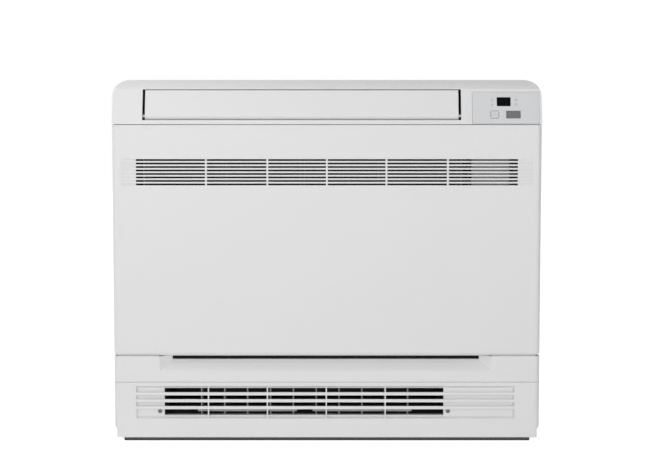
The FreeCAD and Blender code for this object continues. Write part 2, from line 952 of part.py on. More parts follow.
def make_lower_cover():
    """Bottom front moulding with the fixed grille of the lower air outlet."""
    body = new_body("LowerCover")
    wall = s.wall
    over = s.cut_overrun
    low = s.plinth_height
    high = s.lower_cover_top - s.cover_seam
    pad(body, "XY_Plane", [front_plan(0, split)], low, high)
    pocket(body, "XY_Plane", [front_plan(wall + s.foot_inset, split + over)], low + wall, high + over)
    pocket(body, "XY_Plane", [front_plan(wall, split + over)], foot_slope_top, high + over)
    half = right
    foot_half = half - s.foot_inset
    for side in (-1, 1):
        foot = [
            (foot_half * side, low - over),
            ((half + over) * side, low - over),
            ((half + over) * side, foot_slope_top + over),
            (foot_half * side, foot_top),
        ]
        pocket(body, "XZ_Plane", [foot], front - over, split + over)
    floor = front + s.recess_depth
    backing = rectangle(
        -s.recess_left, s.recess_right, s.recess_bottom, s.recess_top
    )
    pad(body, "XZ_Plane", [backing], front + wall / 2, floor + wall)
    recess = pocket(body, "XZ_Plane", [backing], front, floor)
    bind(recess, "TaperAngle", -arc_tangent(s.recess_draft, s.recess_depth))
    mouth = rectangle(-s.mouth_left, s.mouth_right, s.mouth_bottom, s.mouth_top)
    pocket(body, "XZ_Plane", [mouth], floor - over, floor + wall + over)
    bar_back = front + s.grille_bar_set + s.grille_bar_depth
    bar_low = s.grille_bar_first
    bar = rectangle(-s.recess_left, s.recess_right, bar_low, bar_low + s.grille_bar_height)
    bars = pad(body, "XZ_Plane", [bar], front + s.grille_bar_set, bar_back)
    repeat_along(body, bars, "V_Axis", s.grille_bar_pitch, s.grille_bar_count)
    post_left = -s.mouth_left + s.grille_post_inset - s.grille_post_width / 2
    post = rectangle(post_left, post_left + s.grille_post_width, s.recess_bottom, s.recess_top)
    posts = pad(body, "XZ_Plane", [post], front + s.grille_bar_set, floor + wall)
    repeat_along(body, posts, "H_Axis", s.grille_post_pitch, s.grille_post_count)
    holes = [circle(x, s.cover_screw_level, s.cover_screw_shank + s.running_gap) for x in cover_screw_places]
    pocket(body, "XZ_Plane", holes, floor - s.running_gap, floor + wall + over)
    return keep(body, "lower_cover")


def make_cover_screws():
    """The two screws that hold the lower cover, seen at the ends of its grille."""
    floor = front + s.recess_depth
    screws = []
    for x in cover_screw_places:
        head = rod("Y", (x, floor - s.cover_screw_height, s.cover_screw_level), s.cover_screw_radius,
                   s.cover_screw_height)
        shank = rod("Y", (x, floor - s.cover_screw_height, s.cover_screw_level), s.cover_screw_shank,
                    s.cover_screw_height + s.cover_screw_shank_length)
        screws.append(joined(head, shank))
    return keep(group(*screws), "lower_cover_screws")


def make_front_panel():
    """Tilting front panel with the slotted intake, hinged on two pins at its lower corners."""
    body = new_body("FrontPanel")
    wall = s.wall
    over = s.cut_overrun
    low, high = s.panel_bottom, s.panel_top
    pad(body, "XY_Plane", [front_plan(0, panel_back)], low, high)
    round_edges(body, lambda edge: edge_at(edge, z=low) and not edge_at(edge, y=panel_back), s.panel_lip_radius)
    hollow_out(body, lambda face: face_at(face, y=panel_back), wall)
    row = []
    half_bar = s.slot_bar_width / 2
    slot_low = s.slot_first_level - s.slot_height / 2
    slot_high = s.slot_first_level + s.slot_height / 2
    bounds = [-s.slot_outer_half - half_bar, -s.slot_middle_half, -s.slot_inner_half, as_size(0)]
    bounds += [s.slot_inner_half, s.slot_middle_half, s.slot_outer_half + half_bar]
    for start, end in zip(bounds, bounds[1:]):
        row.append(rectangle(start + half_bar, end - half_bar, slot_low, slot_high))
    slots = pocket(body, "XZ_Plane", row, front - over, front + wall + over)
    repeat_along(body, slots, "V_Axis", s.slot_pitch, s.slot_count)
    fade = [
        rectangle(-s.slot_outer_half - s.groove_length, -s.slot_outer_half - half_bar, slot_low, slot_high),
        rectangle(s.slot_outer_half + half_bar, s.slot_outer_half + s.groove_length, slot_low, slot_high),
    ]
    grooves = pocket(body, "XZ_Plane", fade, front - over, front + s.groove_depth)
    repeat_along(body, grooves, "V_Axis", s.slot_pitch, s.slot_count)
    pin = circle(hinge_y, hinge_z, s.panel_pin_radius)
    notch_back = panel_back + over
    for side in (-1, 1):
        wall_face = (right - wall / 2) * side
        tip_face = (right - wall - s.panel_pin_length) * side
        pad(body, "YZ_Plane", [pin], *span_of(wall_face, tip_face))
        outer = (right - wall - s.running_gap) * side
        inner = outer - (s.hinge_lug_width + s.hinge_side_gap * 2) * side
        notch = rectangle(*span_of(inner, outer), hinge_y, notch_back)
        pocket(body, "XY_Plane", [notch], low - over, low + wall + s.running_gap)
    return keep(body, "front_panel")


# The slanted face above the panel: its own frame starts at its lower edge
face_lean = arc_tangent(s.face_top_depth - s.face_bottom_depth, s.case_height - s.crown_drop - s.outlet_bottom)
face_start = front + s.face_bottom_depth
flap_axis = (s.flap_skin_set + s.flap_toe_radius, s.flap_foot_gap + s.flap_toe_radius)
flap_axis_y = face_start + flap_axis[0] * cosine(face_lean) + flap_axis[1] * sine(face_lean)
flap_axis_z = s.outlet_bottom - flap_axis[0] * sine(face_lean) + flap_axis[1] * cosine(face_lean)
flap_left = -s.outlet_left + s.flap_end_gap
flap_right = s.outlet_right - s.flap_end_gap


def lean_back(body):
    """Sets a body that was drawn upright onto the slanted face."""
    place(body, (0, face_start, s.outlet_bottom), ("X", -face_lean))


def crown_section(inset, bottom):
    """Front outline of the top moulding with its two round shoulders."""
    half = right - inset
    top = s.case_height - inset
    radius = s.crown_radius - inset
    return [
        (-half, bottom),
        (half, bottom),
        (half, top - radius, radius),
        (half - radius, top),
        (-half + radius, top, radius),
        (-half, top - radius),
    ]


def crown_front(inset):
    """Side outline of what is cut away in front of the slanted face and the sloping crown."""
    over = s.cut_overrun
    top = s.case_height - inset
    face_top = s.case_height - s.crown_drop - inset
    run = s.crown_run
    radius = (run * run + s.crown_drop * s.crown_drop) / (s.crown_drop * 2)
    crown_start = front + s.face_top_depth + inset
    slope = (s.face_top_depth - s.face_bottom_depth) / (face_top + inset - s.outlet_bottom)
    foot = s.top_case_bottom - over * 2
    foot_start = face_start + inset - slope * (s.outlet_bottom - inset - foot)
    return [
        (front - over, foot),
        (foot_start, foot),
        (crown_start, face_top, -radius),
        (crown_start + run, top),
        (crown_start + run, top + over),
        (front - over, top + over),
    ]


def make_top_case():
    """Top moulding: crown, slanted face with the upper outlet, and seats for flap and control panel."""
    wall = s.wall
    over = s.cut_overrun
    low = s.top_case_bottom
    outer = new_body("TopCaseOuter")
    pad(outer, "XZ_Plane", [crown_section(0, low)], front, rear)
    pocket(outer, "YZ_Plane", [crown_front(0)], left - over, right + over)
    inner = new_body("TopCaseInner")
    pad(inner, "XZ_Plane", [crown_section(wall, low - over)], front + wall, rear - wall)
    pocket(inner, "YZ_Plane", [crown_front(wall)], left - over, right + over)
    outlet = box(
        (-s.outlet_left, s.outlet_right),
        (front - over, front + s.outlet_cut_depth),
        (s.outlet_bottom, s.outlet_top),
    )
    seat = new_body("ControlSeat")
    opening = rectangle(s.control_left, s.control_right, s.control_foot, s.control_foot + s.control_height)
    pad(seat, "XZ_Plane", [opening], -over, wall * 2)
    lean_back(seat)
    shell = cut(outer, inner, outlet, seat)
    bosses = []
    bores = []
    for start in bush_starts:
        bosses.append(rod("X", (start, flap_axis_y, flap_axis_z), s.flap_boss_radius, s.flap_boss_width))
        bores.append(
            rod(
                "X",
                (start - s.running_gap, flap_axis_y, flap_axis_z),
                s.flap_bush_radius + s.pin_gap,
                s.flap_boss_width + s.running_gap * 2,
            )
        )
    return keep(cut(joined(shell, *bosses), *bores), "top_case")


bush_starts = (
    -s.outlet_left - s.flap_boss_set - s.flap_boss_width,
    s.outlet_right + s.flap_boss_set,
)


def make_flap_bushes():
    """Two plain bushes that the flap's end pins turn in."""
    bushes = []
    for start in bush_starts:
        sleeve = rod("X", (start, flap_axis_y, flap_axis_z), s.flap_bush_radius, s.flap_boss_width)
        bore = rod(
            "X",
            (start - s.running_gap, flap_axis_y, flap_axis_z),
            s.flap_pin_radius + s.pin_gap,
            s.flap_boss_width + s.running_gap * 2,
        )
        bushes.append(cut(sleeve, bore))
    return keep(group(*bushes), "flap_bushes")


def make_flap():
    """Air flap of the upper outlet: a thin blade with a rolled toe and a pin at each end."""
    body = new_body("Flap")
    skin = s.flap_skin_set
    axis_y, axis_z = flap_axis
    toe = s.flap_toe_radius
    back = skin + s.flap_thick
    blade = [
        (skin, s.flap_height - s.flap_tip_radius),
        (skin, axis_z, toe),
        (axis_y, axis_z - toe),
        (axis_y, axis_z),
        (back, axis_z + toe),
        (back, s.flap_height),
        (skin + s.flap_tip_radius, s.flap_height, s.flap_tip_radius),
    ]
    pad(body, "YZ_Plane", [blade], flap_left, flap_right)
    pin = circle(axis_y, axis_z, s.flap_pin_radius)
    reach = s.flap_end_gap + s.flap_boss_set + s.flap_boss_width
    pad(body, "YZ_Plane", [pin], flap_left - reach, flap_left + s.flap_pin_root)
    pad(body, "YZ_Plane", [pin], flap_right - s.flap_pin_root, flap_right + reach)
    lean_back(body)
    return keep(body, "flap")


def make_flap_motor():
    """Small stepper beside the outlet, its shaft set off-centre and in line with the flap's pin."""
    start = bush_starts[1] + s.flap_boss_width + s.seat_gap
    can = rod(
        "X",
        (start, flap_axis_y + s.stepper_offset, flap_axis_z),
        s.stepper_radius,
        s.flap_motor_length,
    )
    return keep(can, "flap_motor")


def make_control_panel():
    """Plate at the right of the outlet with openings for display, receiver and button."""
    body = new_body("ControlPanel")
    gap = s.seat_gap
    foot = s.control_foot
    plate = rectangle(
        s.control_left + gap, s.control_right - gap, foot + gap, foot + s.control_height - gap
    )
    pad(body, "XZ_Plane", [plate], s.control_set, s.control_set + s.control_thick)
    for outline in (display_outline(gap), receiver_outline(gap), button_outline(s.running_gap)):
        pocket(body, "XZ_Plane", [outline], -s.cut_overrun, s.control_set + s.control_thick + s.cut_overrun)
    posts = [
        circle(x, z, s.board_post_radius)
        for x in (board_left + s.board_post_inset, board_right - s.board_post_inset)
        for z in (board_low + s.board_post_inset, board_high - s.board_post_inset)
    ]
    pad(body, "XZ_Plane", posts, s.control_set + s.control_thick, s.board_depth)
    lean_back(body)
    return keep(body, "control_panel")


board_left = s.control_left + s.board_side_inset
board_right = s.control_right - s.board_side_inset
board_low = s.control_foot + s.board_inset
board_high = s.control_foot + s.control_height - s.board_inset


def display_outline(gap):
    """Opening of the display window."""
    return rectangle(
        s.display_left - gap, s.display_right + gap, s.display_low - gap, s.display_high + gap
    )


def receiver_outline(gap):
    """Opening of the remote receiver's window."""
    return rectangle(
        s.receiver_left - gap, s.receiver_right + gap, s.button_low - gap, s.button_high + gap
    )


def button_outline(gap):
    """Opening of the on-off button."""
    return rounded_rectangle(
        s.button_left - gap,
        s.button_right + gap,
        s.button_low - gap,
        s.button_high + gap,
        s.button_corner + gap,
    )


def make_display_window():
    """Dark pane over the display."""
    body = new_body("DisplayWindow")
    pad(body, "XZ_Plane", [display_outline(0)], s.control_set, s.control_set + s.control_thick)
    lean_back(body)
    return keep(body, "display_window")


def make_receiver_window():
    """Grey pane over the remote receiver."""
    body = new_body("ReceiverWindow")
    pad(body, "XZ_Plane", [receiver_outline(0)], s.control_set, s.control_set + s.control_thick)
    lean_back(body)
    return keep(body, "receiver_window")


def make_button():
    """On-off button with its stem, flush with the control panel."""
    body = new_body("Button")
    back = s.control_set + s.control_thick
    pad(body, "XZ_Plane", [button_outline(0)], s.control_set, back)
    middle_x = (s.button_left + s.button_right) / 2
    middle_z = (s.button_low + s.button_high) / 2
    pad(body, "XZ_Plane", [circle(middle_x, middle_z, s.button_stem_radius)], back, back + s.button_stem_length)
    lean_back(body)
    return keep(body, "on_off_button")


def make_display_board():
    """Circuit board on the posts behind the control panel, with display block, receiver and switch."""
    body = new_body("DisplayBoard")
    depth = s.board_depth
    pad(body, "XZ_Plane", [rectangle(board_left, board_right, board_low, board_high)], depth, depth + s.board_thick)
    pane_back = s.control_set + s.control_thick + s.seat_gap
    pad(body, "XZ_Plane", [display_outline(-s.board_part_inset)], pane_back, depth)
    pad(body, "XZ_Plane", [receiver_outline(-s.board_part_inset)], pane_back, depth)
    stem_end = s.control_set + s.control_thick + s.button_stem_length
    switch = button_outline(-s.board_part_inset)
    pad(body, "XZ_Plane", [switch], stem_end + s.button_travel + s.seat_gap, depth)
    lean_back(body)
    return keep(body, "display_board")


def make_latch(side, label):
    """Side latch of the front panel: a knob outside, a stem through the wall and a tongue to the front."""
    wall_out = right
    stand = wall_out + s.latch_knob_stand
    plate_face = wall_out - s.wall - s.running_gap
    plate_back = plate_face - s.latch_plate_thick
    knob_half = s.latch_knob_height / 2
    stem_half = s.latch_stem_height / 2

    def span(inner, outer):
        return (inner, outer) if side > 0 else (-outer, -inner)

    def block(inner, outer, depth_half, height_half):
        return box(
            span(inner, outer),
            (latch_y - depth_half, latch_y + depth_half),
            (s.latch_level - height_half, s.latch_level + height_half),
        )

    knob = block(wall_out + s.running_gap, stand, s.latch_knob_depth / 2, knob_half)
    stem = block(plate_back, wall_out + s.running_gap * 2, s.latch_stem_depth / 2, stem_half)
    plate = block(plate_back, plate_face, s.latch_plate_height / 2, s.latch_plate_height / 2)
    tongue = box(
        span(plate_back, plate_face),
        (bulkhead_front - s.latch_tongue_reach, latch_y),
        (s.latch_level - s.latch_knob_height / 2, s.latch_level + s.latch_knob_height / 2),
    )
    return keep(joined(knob, stem, plate, tongue), label)


# Planes of the air path behind the bulkhead
coil_front = bulkhead_back + s.coil_front_gap
coil_back = coil_front + s.coil_depth
coil_low = s.coil_window_bottom - s.coil_lap
coil_high = s.coil_window_top + s.coil_lap
coil_left = -s.coil_window_left - s.coil_lap
coil_right = s.coil_window_right + s.coil_lap
plate_left = coil_left - s.coil_plate
plate_right = coil_right + s.coil_plate
housing_front = coil_back + s.housing_gap
housing_back = rear - s.wall - s.rear_rib_depth - s.housing_rear_gap
duct_wall = s.duct_wall
lower_left = -s.mouth_left - s.seat_gap
lower_right = s.mouth_right + s.seat_gap
lower_front = front + s.recess_depth + s.wall + s.seat_gap
lower_floor = s.mouth_bottom - s.lower_duct_margin
lower_roof = s.mouth_top + s.lower_duct_margin
lower_top = lower_roof + duct_wall
upper_left = -s.outlet_left - s.seat_gap
upper_right = s.outlet_right + s.seat_gap


def make_filter_frame():
    """Frame of the air filter, with three cross bars and a grip at its foot."""
    body = new_body("FilterFrame")
    lap = s.filter_lap
    gap = s.seat_gap
    left_edge = -s.coil_window_left - lap + gap
    right_edge = s.coil_window_right + lap - gap
    high = filter_top - gap
    pad(body, "XZ_Plane", [rectangle(left_edge, right_edge, filter_bottom, high)], filter_front, bulkhead_front)
    rim = s.filter_rim
    pane = (right_edge - left_edge - rim * (s.filter_panes + 1)) / s.filter_panes
    first = rectangle(left_edge + rim, left_edge + rim + pane, filter_bottom + rim, high - rim)
    window = pocket(
        body, "XZ_Plane", [first], filter_front - s.cut_overrun, bulkhead_front + s.cut_overrun
    )
    repeat_along(body, window, "H_Axis", pane + rim, s.filter_panes)
    middle = (left_edge + right_edge) / 2
    grip = rectangle(
        middle - s.filter_grip_width / 2,
        middle + s.filter_grip_width / 2,
        filter_bottom,
        filter_bottom + s.filter_grip_height,
    )
    pad(body, "XZ_Plane", [grip], filter_front - s.filter_grip_depth, filter_front)
    return keep(body, "filter_frame")


def make_filter_mesh():
    """Dust mesh, a thin sheet that lies in each pane of the frame."""
    lap = s.filter_lap
    gap = s.seat_gap
    rim = s.filter_rim
    left_edge = -s.coil_window_left - lap + gap
    right_edge = s.coil_window_right + lap - gap
    pane = (right_edge - left_edge - rim * (s.filter_panes + 1)) / s.filter_panes
    middle = filter_front + s.filter_thick / 2
    sheets = []
    for index in range(int(s.filter_panes.value)):
        start = left_edge + rim + (pane + rim) * index
        sheets.append(
            box(
                (start + gap, start + pane - gap),
                (middle - s.mesh_thick / 2, middle + s.mesh_thick / 2),
                (filter_bottom + rim + gap, filter_top - gap - rim - gap),
            )
        )
    return keep(group(*sheets), "filter_mesh")


def make_coil_fins():
    """Fin pack of the heat exchanger: one corrugated sheet, folded to and fro between front and back."""
    body = new_body("CoilFins")
    over = s.cut_overrun
    pad(body, "XZ_Plane", [rectangle(coil_left, coil_right, coil_low, coil_high)], coil_front, coil_back)
    width = s.fin_pitch - s.fin_sheet
    folds = (
        (coil_left + s.fin_sheet, coil_front - over, coil_back - s.fin_sheet),
        (coil_left + s.fin_sheet + s.fin_pitch, coil_front + s.fin_sheet, coil_back + over),
    )
    for start, near, far in folds:
        groove = rectangle(start, start + width, coil_low - over, coil_high + over)
        fold = pocket(body, "XZ_Plane", [groove], near, far)
        repeat_along(body, fold, "H_Axis", s.fin_pitch * 2, s.fin_fold_count)
    return keep(body, "coil_fins")


def make_coil_plates():
    """Sheet-metal end plates that carry the coil on the bulkhead."""
    plates = [
        box((low, high), (bulkhead_back, coil_back), (coil_low, coil_high + s.coil_plate))
        for low, high in ((plate_left, coil_left), (coil_right, plate_right))
    ]
    return keep(group(*plates), "coil_end_plates")


# Half-round bends: the first axis is where a bend starts, the second its middle
BEND_RIGHT = Rotation(Vector(0, 0, -1), Vector(1, 0, 0), Vector(0, -1, 0))
BEND_LEFT = Rotation(Vector(0, 0, 1), Vector(-1, 0, 0), Vector(0, -1, 0))


def elbow(centre, bend_radius, tube_radius, turn, angle):
    """A stretch of tube bent round a centre."""
    ring = doc.addObject("Part::Torus", "Bend")
    bind(ring, "Radius1", bend_radius)
    bind(ring, "Radius2", tube_radius)
    ring.Angle3 = angle
    place(ring, centre, turn)
    return ring


def make_coil_bends():
    """Return bends that join the coil's tubes in pairs at both ends."""
    bends = []
    middle_y = (coil_front + coil_back) / 2
    half = s.tube_pitch / 2
    first = coil_low + s.tube_margin
    count = int((coil_high.value - coil_low.value - s.tube_margin.value * 2) / s.tube_pitch.value)
    for index in range(count):
        at_right = index % 2 == 0
        level = first + s.tube_pitch * index + half
        x = plate_right if at_right else plate_left
        bends.append(
            elbow((x, middle_y, level), half, s.tube_radius, BEND_RIGHT if at_right else BEND_LEFT, 180)
        )
    return keep(group(*bends), "coil_bends")


# A quarter from the coil down, and one from down to the rear
TURN_DOWN = Rotation(Vector(1, 0, 0), Vector(0, 0, 1), Vector(0, -1, 0))
TURN_BACK = Rotation(Vector(0, -1, 0), Vector(0, 0, -1), Vector(1, 0, 0))


def make_pipes():
    """Gas and liquid pipes from the coil down to the hole in the rear wall."""
    runs = []
    bend = s.pipe_bend
    level_end = s.pipe_hole_level
    for x, y, level, radius in pipe_routes:
        start = plate_right
        across = rod("X", (start, y, level), radius, x - bend - start)
        first = elbow((x - bend, y, level - bend), bend, radius, TURN_DOWN, 90)
        down = rod("Z", (x, y, level_end + bend), radius, level - level_end - bend * 2)
        second = elbow((x, y + bend, level_end + bend), bend, radius, TURN_BACK, 90)
        back = rod("Y", (x, y + bend, level_end), radius, union_front - y - bend)
        runs.append(joined(across, first, down, second, back))
    return keep(group(*runs), "refrigerant_pipes")


union_front = rear - s.wall - s.union_rear_gap - s.union_length
pipe_routes = (
    (s.pipe_hole_x - s.pipe_spread, coil_back - s.pipe_back_inset, s.gas_pipe_level, s.gas_pipe_radius),
    (s.pipe_hole_x + s.pipe_spread, coil_front + s.pipe_back_inset, s.liquid_pipe_level, s.liquid_pipe_radius),
)


# Across a union's corners, as a share of its pipe's radius
UNION_SIZE_SHARE = 1.9


def make_unions():
    """Hexagon flare nuts on the ends of the two pipes, just inside the rear wall."""
    nuts = []
    for x, _, _, radius in pipe_routes:
        nut = doc.addObject("Part::Prism", "Nut")
        nut.Polygon = 6
        bind(nut, "Circumradius", radius * UNION_SIZE_SHARE)
        bind(nut, "Height", s.union_length)
        place(nut, (x, union_front, s.pipe_hole_level), TURNS["Y"])
        socket = rod("Y", (x, union_front + s.union_wall, s.pipe_hole_level), radius, s.union_length)
        nuts.append(cut(nut, socket))
    return keep(group(*nuts), "flare_nuts")


def make_drain_pan():
    """Condensate pan under the coil, with a drain spout at its right end."""
    wall = s.pan_wall
    x_low = plate_left - s.tube_pitch / 2 - s.tube_radius
    x_high = plate_right + s.tube_pitch / 2
    y_low, y_high = bulkhead_back, coil_back + s.pan_lap
    high = coil_low - s.pan_gap
    low = high - s.pan_height
    middle_y = (y_low + y_high) / 2
    spout_z = low + s.spout_radius + wall
    block = box((x_low, x_high), (y_low, y_high), (low, high))
    spout = rod("X", (x_high - wall, middle_y, spout_z), s.spout_radius, s.spout_length + wall)
    hollow = box((x_low + wall, x_high - wall), (y_low + wall, y_high - wall), (low + wall, high + s.cut_overrun))
    bore_start = x_high - wall * 2
    bore = rod("X", (bore_start, middle_y, spout_z), s.spout_radius - wall, s.spout_length + wall * 2 + s.cut_overrun)
    return keep(cut(joined(block, spout), hollow, bore), "drain_pan")


def side_wall(low_x, high_x, away):
    """Profile of one curved side of the fan housing, seen from the front."""
    low, high = lower_top, s.top_case_bottom
    thick = duct_wall * away
    radius = s.housing_side_radius
    near = [(low_x, low), (high_x, high)]
    far = [(low_x + thick, low), (high_x + thick, high)]
    if away > 0:
        return [near[0], far[0] + (radius,), far[1], near[1] + (-radius,)]
    return [near[1], far[1] + (radius,), far[0], near[0] + (-radius,)]


def make_fan_housing():
    """Plate with the fan's inlet and two curved sides that lead the air up and down."""
    body = new_body("FanHousing")
    plate_back = housing_front + duct_wall
    outline = rectangle(upper_left - duct_wall, upper_right + duct_wall, lower_top, s.top_case_bottom)
    pad(body, "XZ_Plane", [outline], housing_front, plate_back)
    pad(body, "XZ_Plane", [side_wall(lower_left, upper_left, -1)], housing_front, housing_back)
    pad(body, "XZ_Plane", [side_wall(lower_right, upper_right, 1)], housing_front, housing_back)
    inlet = circle(fan_x, fan_z, s.inlet_radius + s.mouth_flare + s.seat_gap)
    pocket(body, "XZ_Plane", [inlet], housing_front - s.cut_overrun, plate_back + s.cut_overrun)
    return keep(body, "fan_housing")


def make_bell_mouth():
    """Flared ring that leads the air from the coil into the fan's shroud."""
    body = new_body("BellMouth")
    flare = s.mouth_flare
    wall = s.mouth_wall
    inner = s.inlet_radius
    front_y = housing_front - wall
    back_y = front_y + flare + s.mouth_neck
    section = [
        (inner + flare, front_y),
        (inner + flare + s.mouth_land, front_y),
        (inner + flare + s.mouth_land, front_y + wall),
        (inner + flare, front_y + wall, flare - wall),
        (inner + wall, front_y + flare),
        (inner + wall, back_y),
        (inner, back_y),
        (inner, front_y + flare, -flare),
    ]
    revolve(body, "XY_Plane", [section], 0, "V_Axis")
    place(body, (fan_x, 0, fan_z))
    return keep(body, "bell_mouth")


fan_front = housing_front + s.fan_front_gap
fan_back = fan_front + s.fan_depth


def make_fan_wheel():
    """Turbo fan wheel: a domed back plate, backward-curved blades and a conical shroud."""
    body = new_body("FanWheel")
    rim = s.fan_radius
    skin = s.fan_skin
    dome_front = fan_back - s.fan_dome
    back_plate = [
        (s.shaft_radius + s.pin_gap, dome_front - skin),
        (s.hub_radius, dome_front - skin),
        (s.dome_radius, fan_back - skin),
        (rim, fan_back - skin),
        (rim, fan_back),
        (s.dome_radius - skin, fan_back),
        (s.hub_radius - skin, dome_front + skin),
        (s.hub_bore_radius, dome_front + skin),
        (s.hub_bore_radius, dome_front + s.hub_length),
        (s.shaft_radius + s.pin_gap, dome_front + s.hub_length),
    ]
    revolve(body, "XY_Plane", [back_plate], 0, "V_Axis")
    eye = s.inlet_radius + s.mouth_wall + s.eye_gap
    shroud = [
        (eye, fan_front),
        (eye + skin, fan_front),
        (eye + skin, fan_front + s.shroud_lip),
        (rim, fan_front + s.shroud_drop),
        (rim, fan_front + s.shroud_drop + skin),
        (eye, fan_front + s.shroud_lip + skin),
    ]
    start_x = s.blade_root_radius
    end_x = (rim - skin) * cosine(s.blade_sweep)
    end_z = -(rim - skin) * sine(s.blade_sweep)
    shift_x = s.blade_thick * sine(s.blade_lean)
    shift_z = s.blade_thick * cosine(s.blade_lean)
    blade = [
        (start_x, 0, -s.blade_curve),
        (end_x, end_z),
        (end_x + shift_x, end_z + shift_z, s.blade_curve),
        (start_x + shift_x, shift_z),
    ]
    first = pad(body, "XZ_Plane", [blade], fan_front + s.shroud_drop + skin / 2, fan_back - skin / 2)
    repeat_round(body, first, "N_Axis", s.blade_count)
    revolve(body, "XY_Plane", [shroud], 0, "V_Axis")
    place(body, (fan_x, 0, fan_z))
    return keep(body, "fan_wheel")


hub_front = fan_back - s.fan_dome - s.fan_skin
shaft_start = hub_front - s.nut_height - s.shaft_stick_out
motor_front = fan_back + s.motor_gap
motor_back = rear - s.wall - s.motor_boss_depth
shaft_end = motor_back - s.shaft_end_gap


def make_shaft():
    """Motor shaft that carries the fan wheel."""
    shaft = rod("Y", (fan_x, shaft_start, fan_z), s.shaft_radius, shaft_end - shaft_start)
    return keep(shaft, "motor_shaft")


def make_fan_nut():
    """Nut that clamps the wheel on the shaft."""
    nut = doc.addObject("Part::Prism", "FanNut")
    nut.Polygon = 6
    bind(nut, "Circumradius", s.nut_radius)
    bind(nut, "Height", s.nut_height)
    place(nut, (fan_x, hub_front - s.nut_height, fan_z), TURNS["Y"])
    bore = rod(
        "Y", (fan_x, shaft_start, fan_z), s.shaft_radius + s.pin_gap, hub_front - shaft_start + s.cut_overrun
    )
    return keep(cut(nut, bore), "fan_nut")


def make_motor_can():
    """Fan motor: a flat round can with a bearing seat, on the boss of the rear wall."""
    body = new_body("MotorCan")
    can = s.motor_radius
    edge = s.motor_edge
    seat = s.bearing_radius + s.pin_gap
    section = [
        (seat, motor_front),
        (can - edge, motor_front, edge),
        (can, motor_front + edge),
        (can, motor_back),
        (0, motor_back),
        (0, shaft_end + s.shaft_end_gap / 2),
        (seat, shaft_end + s.shaft_end_gap / 2),
    ]
    revolve(body, "XY_Plane", [section], 0, "V_Axis")
    place(body, (fan_x, 0, fan_z))
    return keep(body, "motor_can")


def make_bearings():
    """Two plain bearings of the motor shaft."""
    rings = []
    for start in (motor_front, shaft_end - s.bearing_width):
        ring = rod("Y", (fan_x, start, fan_z), s.bearing_radius, s.bearing_width)
        bore = rod(
            "Y",
            (fan_x, start - s.running_gap, fan_z),
            s.shaft_radius + s.pin_gap,
            s.bearing_width + s.running_gap * 2,
        )
        rings.append(cut(ring, bore))
    return keep(group(*rings), "motor_bearings")


upper_front = front + s.upper_duct_depth
upper_floor = s.outlet_bottom + s.upper_floor_rise
upper_roof = s.outlet_top


def upper_profile(grow, front_y, bottom):
    """Side outline of the upper duct, which turns the air from the fan forwards to the outlet."""
    knee = housing_front - s.upper_knee
    crest = housing_front + duct_wall
    back = housing_back - duct_wall
    bend = s.upper_bend
    return [
        (front_y, upper_floor - grow),
        (knee, upper_floor - grow),
        (crest - grow, bottom),
        (back + grow, bottom),
        (back + grow, s.upper_top - bend, bend + grow),
        (back - bend, s.upper_top + grow),
        (crest, s.upper_top + grow),
        (knee, upper_roof + grow),
        (front_y, upper_roof + grow),
    ]


class VaneBank:
    """A row of upright vanes that turn on pins in a duct and are led together by a link bar."""

    def __init__(self, name, places, pivot_y, front_y, back_y, low, high, floor, roof, link_z):
        self.name = name
        self.places = places
        self.pivot_y = pivot_y
        self.front_y = front_y
        self.back_y = back_y
        self.low = low
        self.high = high
        self.floor = floor
        self.roof = roof
        self.link_y = front_y + s.link_pin_inset
        self.link_z = link_z

    def make_vane(self, number, x):
        """One vane with its two pivot pins, and a notch whose pin takes the link bar."""
        body = new_body(f"{self.name}Vane")
        half = s.vane_thick / 2
        pad(body, "YZ_Plane", [rectangle(self.front_y, self.back_y, self.low, self.high)], -half, half)
        notch_low = self.link_z - s.link_notch / 2
        notch_high = self.link_z + s.link_notch / 2
        notch = rectangle(
            self.front_y - s.cut_overrun, self.link_y + s.link_notch_depth, notch_low, notch_high
        )
        pocket(body, "YZ_Plane", [notch], -half - s.cut_overrun, half + s.cut_overrun)
        pin = circle(0, self.pivot_y, s.vane_pin_radius)
        pad(body, "XY_Plane", [pin], self.floor - s.vane_pin_reach, self.low + s.vane_pin_root)
        pad(body, "XY_Plane", [pin], self.high - s.vane_pin_root, self.roof + s.vane_pin_reach)
        link_pin = circle(0, self.link_y, s.link_pin_radius)
        pad(body, "XY_Plane", [link_pin], notch_low - s.vane_pin_root, notch_high + s.vane_pin_root)
        place(body, (x, 0, 0))
        return keep(body, f"{self.name}_vane_{number}")

    def make_bar(self):
        """The link bar with a hole for each vane's link pin."""
        body = new_body(f"{self.name}Bar")
        half = s.link_bar_width / 2
        strip = rectangle(
            self.places[0] - s.link_bar_end,
            self.places[-1] + s.link_bar_end,
            self.link_y - half,
            self.link_y + half,
        )
        holes = [circle(x, self.link_y, s.link_pin_radius + s.pin_gap) for x in self.places]
        low = self.link_z - s.link_bar_thick / 2
        pad(body, "XY_Plane", [strip] + holes, low, low + s.link_bar_thick)
        return keep(body, f"{self.name}_link_bar")

    def make(self):
        """All vanes of the bank and their bar."""
        for number, x in enumerate(self.places, start=1):
            self.make_vane(number, x)
        self.make_bar()

    def pin_holes(self):
        """Loops of the holes that a duct has for the pivot pins."""
        return [circle(x, self.pivot_y, s.vane_pin_radius + s.pin_gap) for x in self.places]


def vane_places(first, pitch, start, end):
    """Middles of a run of vanes."""
    return [first + pitch * index for index in range(start, end)]


